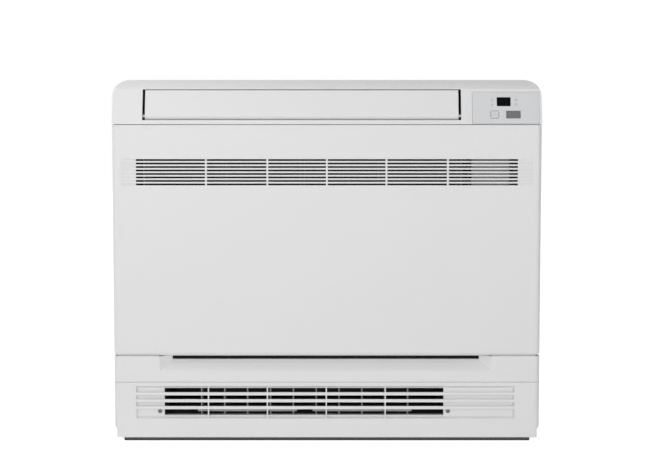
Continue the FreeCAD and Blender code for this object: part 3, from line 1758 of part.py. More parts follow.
def lower_bank(name, start):
    """One of the two banks behind the lower grille."""
    return VaneBank(
        name,
        vane_places(
            s.lower_vane_inset - s.mouth_left,
            s.lower_vane_pitch,
            start,
            start + int(s.lower_bank_count.value),
        ),
        front + s.lower_vane_pivot,
        lower_front + s.lower_vane_set,
        front + s.lower_vane_pivot + s.lower_vane_tail,
        lower_floor + s.vane_end_gap,
        lower_roof - s.vane_end_gap,
        lower_floor,
        lower_roof,
        lower_floor + s.lower_link_level,
    )


left_bank = lower_bank("lower_left", 0)
right_bank = lower_bank("lower_right", int(s.lower_bank_count.value))
upper_bank = VaneBank(
    "upper",
    vane_places(
        (s.outlet_right - s.outlet_left) / 2 - s.upper_vane_pitch * (s.upper_vane_count - 1) / 2,
        s.upper_vane_pitch,
        0,
        int(s.upper_vane_count.value),
    ),
    upper_front + s.upper_vane_pivot,
    upper_front + s.upper_vane_set,
    upper_front + s.upper_vane_pivot + s.upper_vane_tail,
    upper_floor + s.vane_end_gap,
    upper_roof - s.vane_end_gap,
    upper_floor,
    upper_roof,
    upper_floor + s.upper_link_level,
)


def make_upper_duct():
    """Duct from the top of the fan housing to the upper outlet, with holes for the vanes' pins."""
    body = new_body("UpperDuct")
    over = s.cut_overrun
    bottom = s.top_case_bottom
    pad(
        body,
        "YZ_Plane",
        [upper_profile(duct_wall, upper_front, bottom)],
        upper_left - duct_wall,
        upper_right + duct_wall,
    )
    pocket(body, "YZ_Plane", [upper_profile(0, upper_front - over, bottom - over)], upper_left, upper_right)
    pocket(
        body,
        "XY_Plane",
        upper_bank.pin_holes(),
        upper_floor - duct_wall - over,
        upper_roof + duct_wall + over,
    )
    return keep(body, "upper_duct")


shutter_y = front + s.shutter_pivot
shutter_z = lower_floor + s.shutter_level


def make_lower_duct():
    """Duct from the foot of the fan housing to the lower grille, on two legs."""
    body = new_body("LowerDuct")
    over = s.cut_overrun
    wall = duct_wall
    outer = rectangle(lower_left - wall, lower_right + wall, lower_floor - wall, lower_top)
    pad(body, "XZ_Plane", [outer], lower_front, housing_back)
    inner = rectangle(lower_left, lower_right, lower_floor, lower_roof)
    pocket(body, "XZ_Plane", [inner], lower_front - over, housing_back - wall)
    opening = rectangle(lower_left, lower_right, housing_front + wall, housing_back - wall)
    pocket(body, "XY_Plane", [opening], lower_roof - over, lower_top + over)
    floor_top = s.plinth_height + s.wall
    for middle in (lower_left + s.duct_leg_inset, lower_right - s.duct_leg_inset):
        leg = rectangle(middle - wall / 2, middle + wall / 2, lower_front + s.duct_leg_inset, housing_back)
        pad(body, "XY_Plane", [leg], floor_top, lower_floor - wall)
    boss = s.screw_boss_radius
    for x, inner_x in zip(cover_screw_places, (lower_left - wall, lower_right + wall)):
        outer_x = x + boss * math.copysign(1, x.value)
        block = rectangle(*span_of(inner_x, outer_x), s.cover_screw_level - boss, s.cover_screw_level + boss)
        pad(body, "XZ_Plane", [block], lower_front, lower_front + s.screw_boss_depth)
    holes = [circle(x, s.cover_screw_level, s.cover_screw_shank + s.pin_gap) for x in cover_screw_places]
    pocket(body, "XZ_Plane", holes, lower_front - over, lower_front + s.screw_boss_depth + over)
    pocket(
        body,
        "XY_Plane",
        left_bank.pin_holes() + right_bank.pin_holes(),
        lower_floor - wall - over,
        lower_top + over,
    )
    pivot = circle(shutter_y, shutter_z, s.shutter_pin_radius + s.pin_gap)
    pocket(body, "YZ_Plane", [pivot], lower_left - wall - over, lower_right + wall + over)
    return keep(body, "lower_duct")


def make_shutter():
    """Shutter of the lower outlet: it lies on the duct's floor and stands up to close it."""
    body = new_body("Shutter")
    half = s.shutter_thick / 2
    edge = s.shutter_side_gap
    blade = rectangle(shutter_y, shutter_y + s.shutter_length, shutter_z - half, shutter_z + half)
    pad(body, "YZ_Plane", [blade], lower_left + edge, lower_right - edge)
    barrel = circle(shutter_y, shutter_z, s.shutter_barrel_radius)
    pad(body, "YZ_Plane", [barrel], lower_left + edge, lower_right - edge)
    pin = circle(shutter_y, shutter_z, s.shutter_pin_radius)
    pad(body, "YZ_Plane", [pin], lower_left - duct_wall, lower_right + duct_wall)
    return keep(body, "shutter")


def make_shutter_motor():
    """Stepper on the right side of the lower duct, in line with the shutter's pin."""
    can = rod(
        "X", (lower_right + duct_wall + s.seat_gap, shutter_y, shutter_z), s.stepper_radius, s.shutter_motor_length
    )
    return keep(can, "shutter_motor")


box_left = s.service_window_left + s.electric_box_inset
box_right = box_left + s.electric_box_width
box_front = bulkhead_back + s.seat_gap * 2 + s.electric_sheet
box_back = box_front + s.electric_box_depth
box_low = s.service_window_bottom + s.electric_sheet
box_high = s.service_window_top - s.electric_sheet


def make_electrical_box():
    """Sheet-metal box for the electronics, open to the front."""
    sheet_wall = s.electric_sheet
    block = box((box_left, box_right), (box_front, box_back), (box_low, box_high))
    hollow = box(
        (box_left + sheet_wall, box_right - sheet_wall),
        (box_front - s.cut_overrun, box_back - sheet_wall),
        (box_low + sheet_wall, box_high - sheet_wall),
    )
    cable_hole = rod(
        "Z",
        ((box_left + box_right) / 2, box_back - s.cable_hole_inset, box_low - s.cut_overrun),
        s.cable_hole_radius,
        sheet_wall + s.cut_overrun * 2,
    )
    return keep(cut(block, hollow, cable_hole), "electrical_box")


def make_electrical_cover():
    """Lid of the electrical box, seen as the pale patch behind the panel's slots."""
    lap = s.electric_sheet
    lid = box(
        (box_left - lap, box_right + lap),
        (box_front - s.seat_gap - lap, box_front - s.seat_gap),
        (box_low - lap, box_high + lap),
    )
    return keep(lid, "electrical_box_cover")


def make_control_board():
    """Main circuit board on four posts in the box, with its capacitor and relay blocks."""
    body = new_body("ControlBoard")
    inner = box_left + s.electric_sheet
    face = inner + s.board_post_height
    inset = s.main_board_inset
    plate = rectangle(box_front + inset, box_back - inset, box_low + inset * 3, box_high - inset)
    pad(body, "YZ_Plane", [plate], face, face + s.board_thick)
    posts = [
        circle(y, z, s.board_post_radius)
        for y in (box_front + inset * 2, box_back - inset * 2)
        for z in (box_low + inset * 4, box_high - inset * 2)
    ]
    pad(body, "YZ_Plane", posts, inner, face)
    top = face + s.board_thick
    capacitor = circle(box_back - inset * 3, box_high - inset * 4, s.capacitor_radius)
    pad(body, "YZ_Plane", [capacitor], top, top + s.capacitor_length)
    relay = rectangle(
        box_front + inset * 2,
        box_front + inset * 2 + s.relay_size,
        box_high - inset * 5 - s.relay_size,
        box_high - inset * 5,
    )
    pad(body, "YZ_Plane", [relay], top, top + s.relay_size)
    return keep(body, "control_board")


def make_terminal_block():
    """Terminal strip on the floor of the box."""
    body = new_body("TerminalBlock")
    low = box_low + s.electric_sheet
    inner_right = box_right - s.electric_sheet
    start = inner_right - s.terminal_pitch * s.terminal_count - s.main_board_inset
    end = inner_right - s.main_board_inset
    front_y = box_front + s.main_board_inset
    base = rectangle(start, end, front_y, front_y + s.terminal_depth)
    pad(body, "XY_Plane", [base], low, low + s.terminal_height)
    well = rectangle(
        start + s.duct_wall / 2,
        start + s.terminal_pitch - s.duct_wall / 2,
        front_y - s.cut_overrun,
        front_y + s.terminal_depth - s.duct_wall,
    )
    first = pocket(body, "XY_Plane", [well], low + s.terminal_height / 2, low + s.terminal_height + s.cut_overrun)
    repeat_along(body, first, "H_Axis", s.terminal_pitch, s.terminal_count)
    return keep(body, "terminal_block")


def make_all():
    """Every piece of the product, from the floor up and from the outside in."""
    make_base_plate()
    make_rear_case()
    make_front_frame()
    make_hinge_brackets()
    make_intake_sill()
    make_lower_cover()
    make_cover_screws()
    make_front_panel()
    make_latch(-1, "panel_latch_left")
    make_latch(1, "panel_latch_right")
    make_top_case()
    make_flap()
    make_flap_bushes()
    make_flap_motor()
    make_control_panel()
    make_display_window()
    make_receiver_window()
    make_button()
    make_display_board()
    make_filter_frame()
    make_filter_mesh()
    make_coil_fins()
    make_coil_plates()
    make_coil_bends()
    make_pipes()
    make_unions()
    make_drain_pan()
    make_fan_housing()
    make_bell_mouth()
    make_fan_wheel()
    make_shaft()
    make_fan_nut()
    make_motor_can()
    make_bearings()
    make_upper_duct()
    make_lower_duct()
    make_shutter()
    make_shutter_motor()
    for bank in (left_bank, right_bank, upper_bank):
        bank.make()
    make_electrical_box()
    make_electrical_cover()
    make_control_board()
    make_terminal_block()


def hand_in():
    """Checks every object and writes each kept piece to its own file."""
    doc.recompute()
    for item in doc.Objects:
        if "Invalid" in item.State or "Error" in item.State:
            raise RuntimeError(f"{item.Name} ({item.Label}) did not build: {item.State}")
    for item in pieces:
        if item.Shape.isNull() or not item.Shape.isValid() or not item.Shape.Solids:
            raise RuntimeError(f"{item.Label} has no valid shape")
    os.makedirs(PARTS_FOLDER, exist_ok=True)
    for item in pieces:
        item.Shape.exportStep(os.path.join(PARTS_FOLDER, f"{item.Label}.step"))
        print(f"{item.Label}: {len(item.Shape.Solids)} solid(s), {item.Shape.Volume:.0f} mm3")


make_all()
hand_in()
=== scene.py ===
"""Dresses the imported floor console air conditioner: finishes, small printed details, studio and camera."""
import json
import logging
import math
from collections.abc import Iterable, Sequence
from dataclasses import dataclass, field
from enum import Enum

import bmesh
import bpy
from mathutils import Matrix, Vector


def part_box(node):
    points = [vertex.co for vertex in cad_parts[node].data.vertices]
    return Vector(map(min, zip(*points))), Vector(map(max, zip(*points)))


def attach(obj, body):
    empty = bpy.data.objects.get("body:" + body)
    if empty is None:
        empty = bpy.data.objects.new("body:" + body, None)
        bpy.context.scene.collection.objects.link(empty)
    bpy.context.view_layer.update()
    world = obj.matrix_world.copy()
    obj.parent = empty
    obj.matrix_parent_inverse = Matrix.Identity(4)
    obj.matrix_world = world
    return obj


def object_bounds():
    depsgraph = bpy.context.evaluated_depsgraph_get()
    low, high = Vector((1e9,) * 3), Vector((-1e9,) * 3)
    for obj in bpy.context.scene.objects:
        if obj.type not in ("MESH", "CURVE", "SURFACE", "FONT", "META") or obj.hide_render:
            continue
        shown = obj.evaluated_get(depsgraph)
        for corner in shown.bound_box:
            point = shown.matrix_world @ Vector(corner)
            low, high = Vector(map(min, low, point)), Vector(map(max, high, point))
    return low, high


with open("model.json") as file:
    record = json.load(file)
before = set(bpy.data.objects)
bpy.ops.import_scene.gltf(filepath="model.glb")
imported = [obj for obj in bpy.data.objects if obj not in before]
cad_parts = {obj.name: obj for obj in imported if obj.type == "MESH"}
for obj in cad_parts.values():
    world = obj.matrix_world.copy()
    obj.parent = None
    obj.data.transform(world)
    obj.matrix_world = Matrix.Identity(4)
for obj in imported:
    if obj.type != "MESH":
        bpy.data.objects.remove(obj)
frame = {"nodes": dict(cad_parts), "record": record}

LOG = logging.getLogger("floor_console")
CAD_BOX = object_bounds()

Colour = tuple[float, float, float]
Point2 = tuple[float, float]
Point3 = tuple[float, float, float]
Outline = list[Point2]

MM = 0.001
IMAGE_WIDTH = 671
NODE_STEP = 180
CABINET = "cabinet"
FLAT = 0.0
UPRIGHT = 90.0
FORWARD_LIMIT = -0.5
FULL_WHITE = (1.0, 1.0, 1.0, 1.0)
# Near-black that the painted shade in seams, slots and inner corners mixes toward.
PAINTED_SHADE_COLOUR = (0.02, 0.02, 0.02, 1.0)
LEAST_UPWARD = 0.15
FIN_STRETCH = (1.0, 0.02, 0.02)
BRUSH_STRETCH = (0.04, 0.6, 1.0)
TRACK_SHARE = 0.4
THREAD_SHARE = 0.8
ROUGHNESS_SWING = 0.16
COAT_ROUGHNESS = 0.2
BUMP_STRENGTH = 0.35


class Surface(Enum):
    """How a finish is built up."""

    MOULDED = "moulded"
    BRUSHED = "brushed"
    FINNED = "finned"
    NET = "net"
    BOARD = "board"


@dataclass(frozen=True)
class Finish:
    """One finish of the part, named for the material slot that it fills.

    Lengths are in metres and scales are repeats per metre.
    """

    slot: str
    surface: Surface
    colour: Colour
    roughness: float
    metallic: float = 0.0
    specular: float = 0.5
    coat: float = 0.0
    grain_scale: float = 1400.0
    grain_depth: float = 0.00004
    mottle: float = 0.05
    dust: float = 0.0
    dust_colour: Colour = (0.62, 0.6, 0.56)
    edge_radius: float = 0.0
    # Share of painted shade: darkens the colour in seams, slots and inner corners.
    painted_shade: float = 0.0
    lines: Colour = (1.0, 1.0, 1.0)


# White plastic, with a light painted shade in its seams, slots and inner corners.
WHITE = Finish(
    "white_plastic", Surface.MOULDED, (0.8, 0.8, 0.8), 0.38, coat=0.08, mottle=0.012, dust=0.04, edge_radius=0.0004,
    painted_shade=0.06,
)
FINISHES = (
    WHITE,
    Finish(
        "panel_grey_plastic", Surface.MOULDED, (0.70, 0.71, 0.725), 0.34, coat=0.1, mottle=0.012, dust=0.03,
        edge_radius=0.0005,
    ),
    Finish("black_plastic", Surface.MOULDED, (0.022, 0.022, 0.024), 0.55, mottle=0.12, dust=0.1, edge_radius=0.0004),
    Finish("vane_plastic", Surface.MOULDED, (0.36, 0.37, 0.38), 0.45, mottle=0.06, dust=0.1, edge_radius=0.0004),
    Finish("bush_plastic", Surface.MOULDED, (0.5, 0.5, 0.49), 0.42, mottle=0.06, dust=0.05),
    Finish("fan_plastic", Surface.MOULDED, (0.1, 0.105, 0.11), 0.48, mottle=0.1, dust=0.25),
    Finish("filter_plastic", Surface.MOULDED, (0.018, 0.018, 0.02), 0.5, mottle=0.1, dust=0.03),
    Finish("filter_net", Surface.NET, (0.012, 0.012, 0.013), 0.7, grain_scale=420.0, dust=0.02),
    Finish("smoked_window", Surface.MOULDED, (0.0025, 0.0025, 0.003), 0.3, specular=0.03, mottle=0.2),
    Finish("grey_window", Surface.MOULDED, (0.17, 0.172, 0.178), 0.3, specular=0.3, grain_scale=700.0, mottle=0.3),
    Finish("pale_cover", Surface.MOULDED, (0.42, 0.43, 0.43), 0.5, mottle=0.05, dust=0.1),
    Finish("circuit_board", Surface.BOARD, (0.03, 0.16, 0.07), 0.4, grain_scale=260.0, lines=(0.10, 0.32, 0.15)),
    Finish("fin_aluminium", Surface.FINNED, (0.72, 0.73, 0.74), 0.38, metallic=1.0, grain_scale=560.0, mottle=0.12),
    Finish("sheet_steel", Surface.BRUSHED, (0.56, 0.57, 0.58), 0.42, metallic=1.0, mottle=0.2, dust=0.06),
    Finish("copper", Surface.BRUSHED, (0.72, 0.36, 0.22), 0.3, metallic=1.0, mottle=0.3),
    Finish("brass", Surface.BRUSHED, (0.74, 0.54, 0.24), 0.3, metallic=1.0, mottle=0.15),
    Finish("screw_steel", Surface.BRUSHED, (0.16, 0.16, 0.165), 0.42, metallic=1.0, mottle=0.3),
    Finish("motor_casing", Surface.MOULDED, (0.45, 0.46, 0.47), 0.5, metallic=1.0, grain_scale=900.0, mottle=0.2),
)
PRINT_GREY = Finish("print_grey", Surface.MOULDED, (0.38, 0.39, 0.4), 0.5, mottle=0.1)
SEGMENT_GHOST = Finish("segment_ghost", Surface.MOULDED, (0.007, 0.007, 0.008), 0.4, specular=0.03, mottle=0.2)
# Painted shade: near-black sheet for the shadow inside, behind the slots.
PAINTED_SHADE_SHEET = Finish("painted_shade_sheets", Surface.MOULDED, (0.012, 0.012, 0.012), 0.95, grain_scale=2600.0, grain_depth=0.0003, mottle=0.4)
# Painted shade: dark crosses for the shadow in the screws' drive recesses.
DRIVE_SHADE = Finish("drive_shade", Surface.MOULDED, (0.03, 0.03, 0.032), 0.6, mottle=0.3)
# Painted shade: grey for the white foot of the lowest slot, which lies in shadow.
LIP_PAINTED_SHADE_GREY = Finish("lip_painted_shade_grey", Surface.MOULDED, (0.42, 0.42, 0.425), 0.6, mottle=0.06, dust=0.05)


class NodeBoard:
    """Puts nodes on one node tree and links them."""

    def __init__(self, tree: bpy.types.NodeTree) -> None:
        """Takes the tree to work on.

        Args:
            tree: A material's, world's or group's node tree.
        """
        self.tree = tree
        self.column = 0

    def put(self, kind: str, **values: object) -> bpy.types.Node:
        """Adds a node and sets its attributes and its inputs.

        Args:
            kind: The node's type name.
            values: Attributes of the node, or input sockets whose names are written with underscores.

        Returns:
            The new node.
        """
        node = self.tree.nodes.new(kind)
        node.location = (self.column * NODE_STEP, 0)
        self.column += 1
        for name, value in values.items():
            socket = node.inputs.get(name.replace("_", " "))
            if socket is None:
                setattr(node, name, value)
            else:
                self.feed(socket, value)
        return node

    def join(self, source: bpy.types.NodeSocket, target: bpy.types.NodeSocket) -> None:
        """Links two sockets."""
        self.tree.links.new(source, target)

    def feed(self, socket: bpy.types.NodeSocket, value: object) -> None:
        """Links a socket to another, or sets its value.

        Args:
            socket: The input to feed.
            value: A socket to link, or a plain value.
        """
        if isinstance(value, bpy.types.NodeSocket):
            self.join(value, socket)
        else:
            socket.default_value = value

    def maths(self, operation: str, first: object, second: object = 0.0) -> bpy.types.NodeSocket:
        """Adds a Math node.

        Args:
            operation: The operation's name.
            first: A socket or a number.
            second: A socket or a number.

        Returns:
            The result's socket.
        """
        node = self.put("ShaderNodeMath", operation=operation)
        for socket, value in zip(node.inputs, (first, second)):
            self.feed(socket, value)
        return node.outputs[0]

    def mix(self, factor: object, first: object, second: object) -> bpy.types.NodeSocket:
        """Adds a colour mix.

        Args:
            factor: A socket or a number.
            first: The colour at factor 0, a socket or four numbers.
            second: The colour at factor 1, a socket or four numbers.

        Returns:
            The mixed colour's socket.
        """
        node = self.put("ShaderNodeMix", data_type="RGBA")
        colours = [socket for socket in node.inputs if socket.type == "RGBA"]
        for socket, value in zip((node.inputs[0], *colours), (factor, first, second)):
            self.feed(socket, value)
        return next(socket for socket in node.outputs if socket.type == "RGBA")


def rgba(colour: Colour) -> tuple[float, float, float, float]:
    """Gives a colour its full alpha."""
    return (*colour, 1.0)


class EffectGroups:
    """Shader node groups for the effects that several finishes share."""

    def __init__(self) -> None:
        """Builds every group once."""
        self.grain = self._mould_grain()
        self.dust = self._dust_film()
        self.edge = self._soft_edge()
        self.drawn = self._drawn_lines()
        self.net = self._net_weave()
        self.painted_shade = self._crevice_shade()

    @staticmethod
    def _start(
        name: str, inputs: Iterable[tuple[str, str, object]], outputs: Iterable[tuple[str, str]]
    ) -> tuple[NodeBoard, bpy.types.Node, bpy.types.Node]:
        """Makes an empty group with its sockets.

        Args:
            name: The group's name.
            inputs: Name, socket type and default of each input.
            outputs: Name and socket type of each output.

        Returns:
            The board, the input node and the output node.
        """
        tree = bpy.data.node_groups.new(name, "ShaderNodeTree")
        for label, kind, default in inputs:
            socket = tree.interface.new_socket(label, in_out="INPUT", socket_type=kind)
            socket.default_value = default
        for label, kind in outputs:
            tree.interface.new_socket(label, in_out="OUTPUT", socket_type=kind)
        board = NodeBoard(tree)
        return board, board.put("NodeGroupInput"), board.put("NodeGroupOutput")

    def _mould_grain(self) -> bpy.types.NodeTree:
        """Fine spark-eroded grain with slow waves of shade.

        Returns:
            The group, with outputs Height and Shade.
        """
        board, given, out = self._start(
            "mould_grain",
            [("Scale", "NodeSocketFloat", 1400.0), ("Wave Scale", "NodeSocketFloat", 7.0)],
            [("Height", "NodeSocketFloat"), ("Shade", "NodeSocketFloat")],
        )
        where = board.put("ShaderNodeTexCoord").outputs["Object"]
        fine = board.put("ShaderNodeTexNoise", Vector=where, Scale=given.outputs["Scale"], Detail=2.0)
        slow = board.put("ShaderNodeTexNoise", Vector=where, Scale=given.outputs["Wave Scale"], Detail=3.0)
        board.join(fine.outputs["Fac"], out.inputs["Height"])
        board.join(slow.outputs["Fac"], out.inputs["Shade"])
        return board.tree

    def _dust_film(self) -> bpy.types.NodeTree:
        """Thin dust that settles on faces that look up.

        Returns:
            The group, with outputs Color and Mask.
        """
        board, given, out = self._start(
            "dust_film",
            [
                ("Color", "NodeSocketColor", (0.8, 0.8, 0.8, 1.0)),
                ("Dust Color", "NodeSocketColor", (0.62, 0.6, 0.56, 1.0)),
                ("Amount", "NodeSocketFloat", 0.1),
            ],
            [("Color", "NodeSocketColor"), ("Mask", "NodeSocketFloat")],
        )
        where = board.put("ShaderNodeTexCoord").outputs["Object"]
        normal = board.put("ShaderNodeNewGeometry").outputs["Normal"]
        facing = board.put("ShaderNodeSeparateXYZ", Vector=normal)
        upward = board.maths("MAXIMUM", facing.outputs["Z"], LEAST_UPWARD)
        speckle = board.put("ShaderNodeTexNoise", Vector=where, Scale=60.0, Detail=6.0, Roughness=0.7)
        cover = board.maths("MULTIPLY", speckle.outputs["Fac"], upward)
        mask = board.maths("MULTIPLY", cover, given.outputs["Amount"])
        board.join(mask, out.inputs["Mask"])
        board.join(board.mix(mask, given.outputs["Color"], given.outputs["Dust Color"]), out.inputs["Color"])
        return board.tree

    def _soft_edge(self) -> bpy.types.NodeTree:
        """Small rounding along every edge, as a moulding has.

        Returns:
            The group, with output Normal.
        """
        board, given, out = self._start(
            "soft_edge", [("Radius", "NodeSocketFloat", 0.0006)], [("Normal", "NodeSocketVector")]
        )
        rounded = board.put("ShaderNodeBevel", samples=4, Radius=given.outputs["Radius"])
        board.join(rounded.outputs["Normal"], out.inputs["Normal"])
        return board.tree

    def _drawn_lines(self) -> bpy.types.NodeTree:
        """Fine lines that drawing or turning leaves on metal.

        Returns:
            The group, with outputs Height and Shade.
        """
        board, given, out = self._start(
            "drawn_lines",
            [("Scale", "NodeSocketFloat", 900.0), ("Stretch", "NodeSocketVector", (0.03, 1.0, 1.0))],
            [("Height", "NodeSocketFloat"), ("Shade", "NodeSocketFloat")],
        )
        where = board.put("ShaderNodeTexCoord").outputs["Object"]
        along = board.put("ShaderNodeVectorMath", operation="MULTIPLY")
        board.join(where, along.inputs[0])
        board.join(given.outputs["Stretch"], along.inputs[1])
        lines = board.put(
            "ShaderNodeTexNoise", Vector=along.outputs[0], Scale=given.outputs["Scale"], Detail=3.0, Roughness=0.6
        )
        tarnish = board.put("ShaderNodeTexNoise", Vector=where, Scale=38.0, Detail=5.0, Roughness=0.65)
        board.join(lines.outputs["Fac"], out.inputs["Height"])
        board.join(tarnish.outputs["Fac"], out.inputs["Shade"])
        return board.tree

    def _net_weave(self) -> bpy.types.NodeTree:
        """Square net of crossed threads.

        Returns:
            The group, with outputs Mask, which is 1 on a thread, and Height.
        """
        board, given, out = self._start(
            "net_weave",
            [("Scale", "NodeSocketFloat", 420.0), ("Thread", "NodeSocketFloat", 0.34)],
            [("Mask", "NodeSocketFloat"), ("Height", "NodeSocketFloat")],
        )
        where = board.put("ShaderNodeSeparateXYZ", Vector=board.put("ShaderNodeTexCoord").outputs["Object"])
        threads = []
        for axis in ("X", "Z"):
            turns = board.maths("MULTIPLY", where.outputs[axis], given.outputs["Scale"])
            off_middle = board.maths("ABSOLUTE", board.maths("SUBTRACT", board.maths("FRACT", turns), 0.5))
            threads.append(board.maths("DIVIDE", off_middle, 0.5))
        height = board.maths("MAXIMUM", *threads)
        limit = board.maths("SUBTRACT", 1.0, given.outputs["Thread"])
        board.join(board.maths("GREATER_THAN", height, limit), out.inputs["Mask"])
        board.join(height, out.inputs["Height"])
        return board.tree

    def _crevice_shade(self) -> bpy.types.NodeTree:
        """Painted shade: a darker colour in seams, slots and inner corners, where ambient occlusion finds them closed
        in.

        Returns:
            The group, with output Color.
        """
        board, given, out = self._start(
            "crevice_shade",
            [
                ("Color", "NodeSocketColor", (0.8, 0.8, 0.8, 1.0)),
                ("Distance", "NodeSocketFloat", 0.012),
                ("Amount", "NodeSocketFloat", 0.5),
            ],
            [("Color", "NodeSocketColor")],
        )
        # Painted shade: the colour darkens where the ambient occlusion is low.
        open_sky = board.put("ShaderNodeAmbientOcclusion", samples=6, Distance=given.outputs["Distance"])
        closed = board.maths("SUBTRACT", 1.0, open_sky.outputs["AO"])
        mask = board.maths("MULTIPLY", closed, given.outputs["Amount"])
        board.join(board.mix(mask, given.outputs["Color"], PAINTED_SHADE_COLOUR), out.inputs["Color"])
        return board.tree


class FinishShop:
    """Makes each finish's material once and hands it out."""

    def __init__(self) -> None:
        """Builds the shared groups."""
        self.groups = EffectGroups()
        self.made: dict[str, bpy.types.Material] = {}

    def material(self, finish: Finish) -> bpy.types.Material:
        """Gives the material of a finish.

        Args:
            finish: The finish to build.

        Returns:
            The material, built the first time it is asked for.
        """
        if finish.slot not in self.made:
            self.made[finish.slot] = self._build(finish)
        return self.made[finish.slot]

    def _group(self, board: NodeBoard, tree: bpy.types.NodeTree, **values: object) -> bpy.types.Node:
        """Places a shared group in a material.

        Args:
            board: The material's board.
            tree: The group.
            values: Inputs of the group.

        Returns:
            The group's node.
        """
        node = board.put("ShaderNodeGroup", node_tree=tree)
        for name, value in values.items():
            board.feed(node.inputs[name.replace("_", " ")], value)
        return node

    def _relief(self, board: NodeBoard, finish: Finish) -> tuple[bpy.types.NodeSocket, bpy.types.NodeSocket]:
        """Places the group that gives a finish its relief.

        Args:
            board: The material's board.
            finish: The finish.

        Returns:
            The sockets of height and of slow shade.
        """
        if finish.surface in (Surface.BRUSHED, Surface.FINNED):
            stretch = FIN_STRETCH if finish.surface is Surface.FINNED else BRUSH_STRETCH
            node = self._group(board, self.groups.drawn, Scale=finish.grain_scale, Stretch=stretch)
        else:
            node = self._group(board, self.groups.grain, Scale=finish.grain_scale)
        return node.outputs["Height"], node.outputs["Shade"]

    def _build(self, finish: Finish) -> bpy.types.Material:
        """Builds a finish's material.

        Args:
            finish: The finish.

        Returns:
            The new material.
        """
        material = bpy.data.materials.new(finish.slot)
        material.use_nodes = True
        material.node_tree.nodes.clear()
        board = NodeBoard(material.node_tree)
        shader = board.put("ShaderNodeBsdfPrincipled")
        shader.inputs["Metallic"].default_value = finish.metallic
        shader.inputs["Specular IOR Level"].default_value = finish.specular
        shader.inputs["Coat Weight"].default_value = finish.coat
        shader.inputs["Coat Roughness"].default_value = COAT_ROUGHNESS
        height, shade = self._relief(board, finish)
        darker = tuple(part * (1.0 - finish.mottle) for part in finish.colour)
        lighter = tuple(min(1.0, part * (1.0 + finish.mottle)) for part in finish.colour)
        colour = board.mix(shade, rgba(darker), rgba(lighter))
        if finish.surface is Surface.BOARD:
            tracks = self._group(board, self.groups.net, Scale=finish.grain_scale, Thread=TRACK_SHARE)
            colour = board.mix(tracks.outputs["Mask"], colour, rgba(finish.lines))
        if finish.surface is Surface.NET:
            weave = self._group(board, self.groups.net, Scale=finish.grain_scale, Thread=THREAD_SHARE)
            board.join(weave.outputs["Mask"], shader.inputs["Alpha"])
            height = weave.outputs["Height"]
        roughness = board.maths("MULTIPLY", shade, ROUGHNESS_SWING)
        roughness = board.maths("ADD", roughness, finish.roughness - ROUGHNESS_SWING / 2)
        if finish.dust:
            film = self._group(
                board, self.groups.dust, Color=colour, Dust_Color=rgba(finish.dust_colour), Amount=finish.dust
            )
            colour = film.outputs["Color"]
            roughness = board.maths("ADD", roughness, film.outputs["Mask"])
        # Painted shade in seams, slots and inner corners, found by ambient occlusion.
        if finish.painted_shade:
            seams = self._group(board, self.groups.painted_shade, Color=colour, Amount=finish.painted_shade)
            colour = seams.outputs["Color"]
        board.join(colour, shader.inputs["Base Color"])
        board.join(roughness, shader.inputs["Roughness"])
        bump = board.put("ShaderNodeBump", Strength=BUMP_STRENGTH, Distance=finish.grain_depth, Height=height)
        if finish.edge_radius:
            edge = self._group(board, self.groups.edge, Radius=finish.edge_radius)
            board.join(edge.outputs["Normal"], bump.inputs["Normal"])
        board.join(bump.outputs["Normal"], shader.inputs["Normal"])
        output = board.put("ShaderNodeOutputMaterial")
        board.join(shader.outputs["BSDF"], output.inputs["Surface"])
        return material


@dataclass(frozen=True)
class Plane:
    """A flat face of a node: a point on it, its right and its up, and the way it looks."""

    origin: Vector
    right: Vector
    up: Vector
    normal: Vector

    def point(self, across: float, along: float, lift: float = 0.0) -> Vector:
        """Gives a point of the face.

        Args:
            across: Distance to the right of the origin.
            along: Distance up the face.
            lift: Distance off the face.

        Returns:
            The point in the row frame.
        """
        return self.origin + self.right * across + self.up * along + self.normal * lift


def slope_plane(place: Point3, slope: float) -> Plane:
    """Gives a plane that runs across the part and climbs toward its back.

    Args:
        place: A point on it.
        slope: How steeply it climbs, in degrees: 0 lies flat and looks up, 90 stands and looks forward.

    Returns:
        The plane.
    """
    right = Vector((1.0, 0.0, 0.0))
    angle = math.radians(slope)
    up = Vector((0.0, math.cos(angle), math.sin(angle)))
    return Plane(Vector(place), right, up, right.cross(up))


def front_plane(node: str) -> Plane:
    """Finds the large front face of a node.

    Args:
        node: The CAD node's name.

    Returns:
        The plane through the middle of the node's box, on that face.
    """
    mesh = frame["nodes"][node].data
    faces = [face for face in mesh.polygons if face.normal.y < FORWARD_LIMIT]
    widest = max(faces, key=lambda face: face.area)
    normal = widest.normal.normalized()
    right = Vector((1.0, 0.0, 0.0))
    low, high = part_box(node)
    middle = (low + high) / 2
    drop = (widest.center - middle).dot(normal)
    return Plane(middle + normal * drop, right, normal.cross(right).normalized(), normal)


def ring(radius: float, width: float, start: float = 0.0, sweep: float = 354.0, steps: int = 28) -> Outline:
    """Outlines a ring or a part of one.

    Args:
        radius: Middle radius.
        width: Width of the band.
        start: First angle, in degrees.
        sweep: Angle covered, in degrees, short of a whole turn so that the two ends stay apart.
        steps: Points on each side.

    Returns:
        A closed outline, out along one side and back along the other.
    """
    angles = [math.radians(start + sweep * step / (steps - 1)) for step in range(steps)]
    outside = radius + width / 2
    inside = radius - width / 2
    outer = [(outside * math.cos(angle), outside * math.sin(angle)) for angle in angles]
    inner = [(inside * math.cos(angle), inside * math.sin(angle)) for angle in reversed(angles)]
    return outer + inner


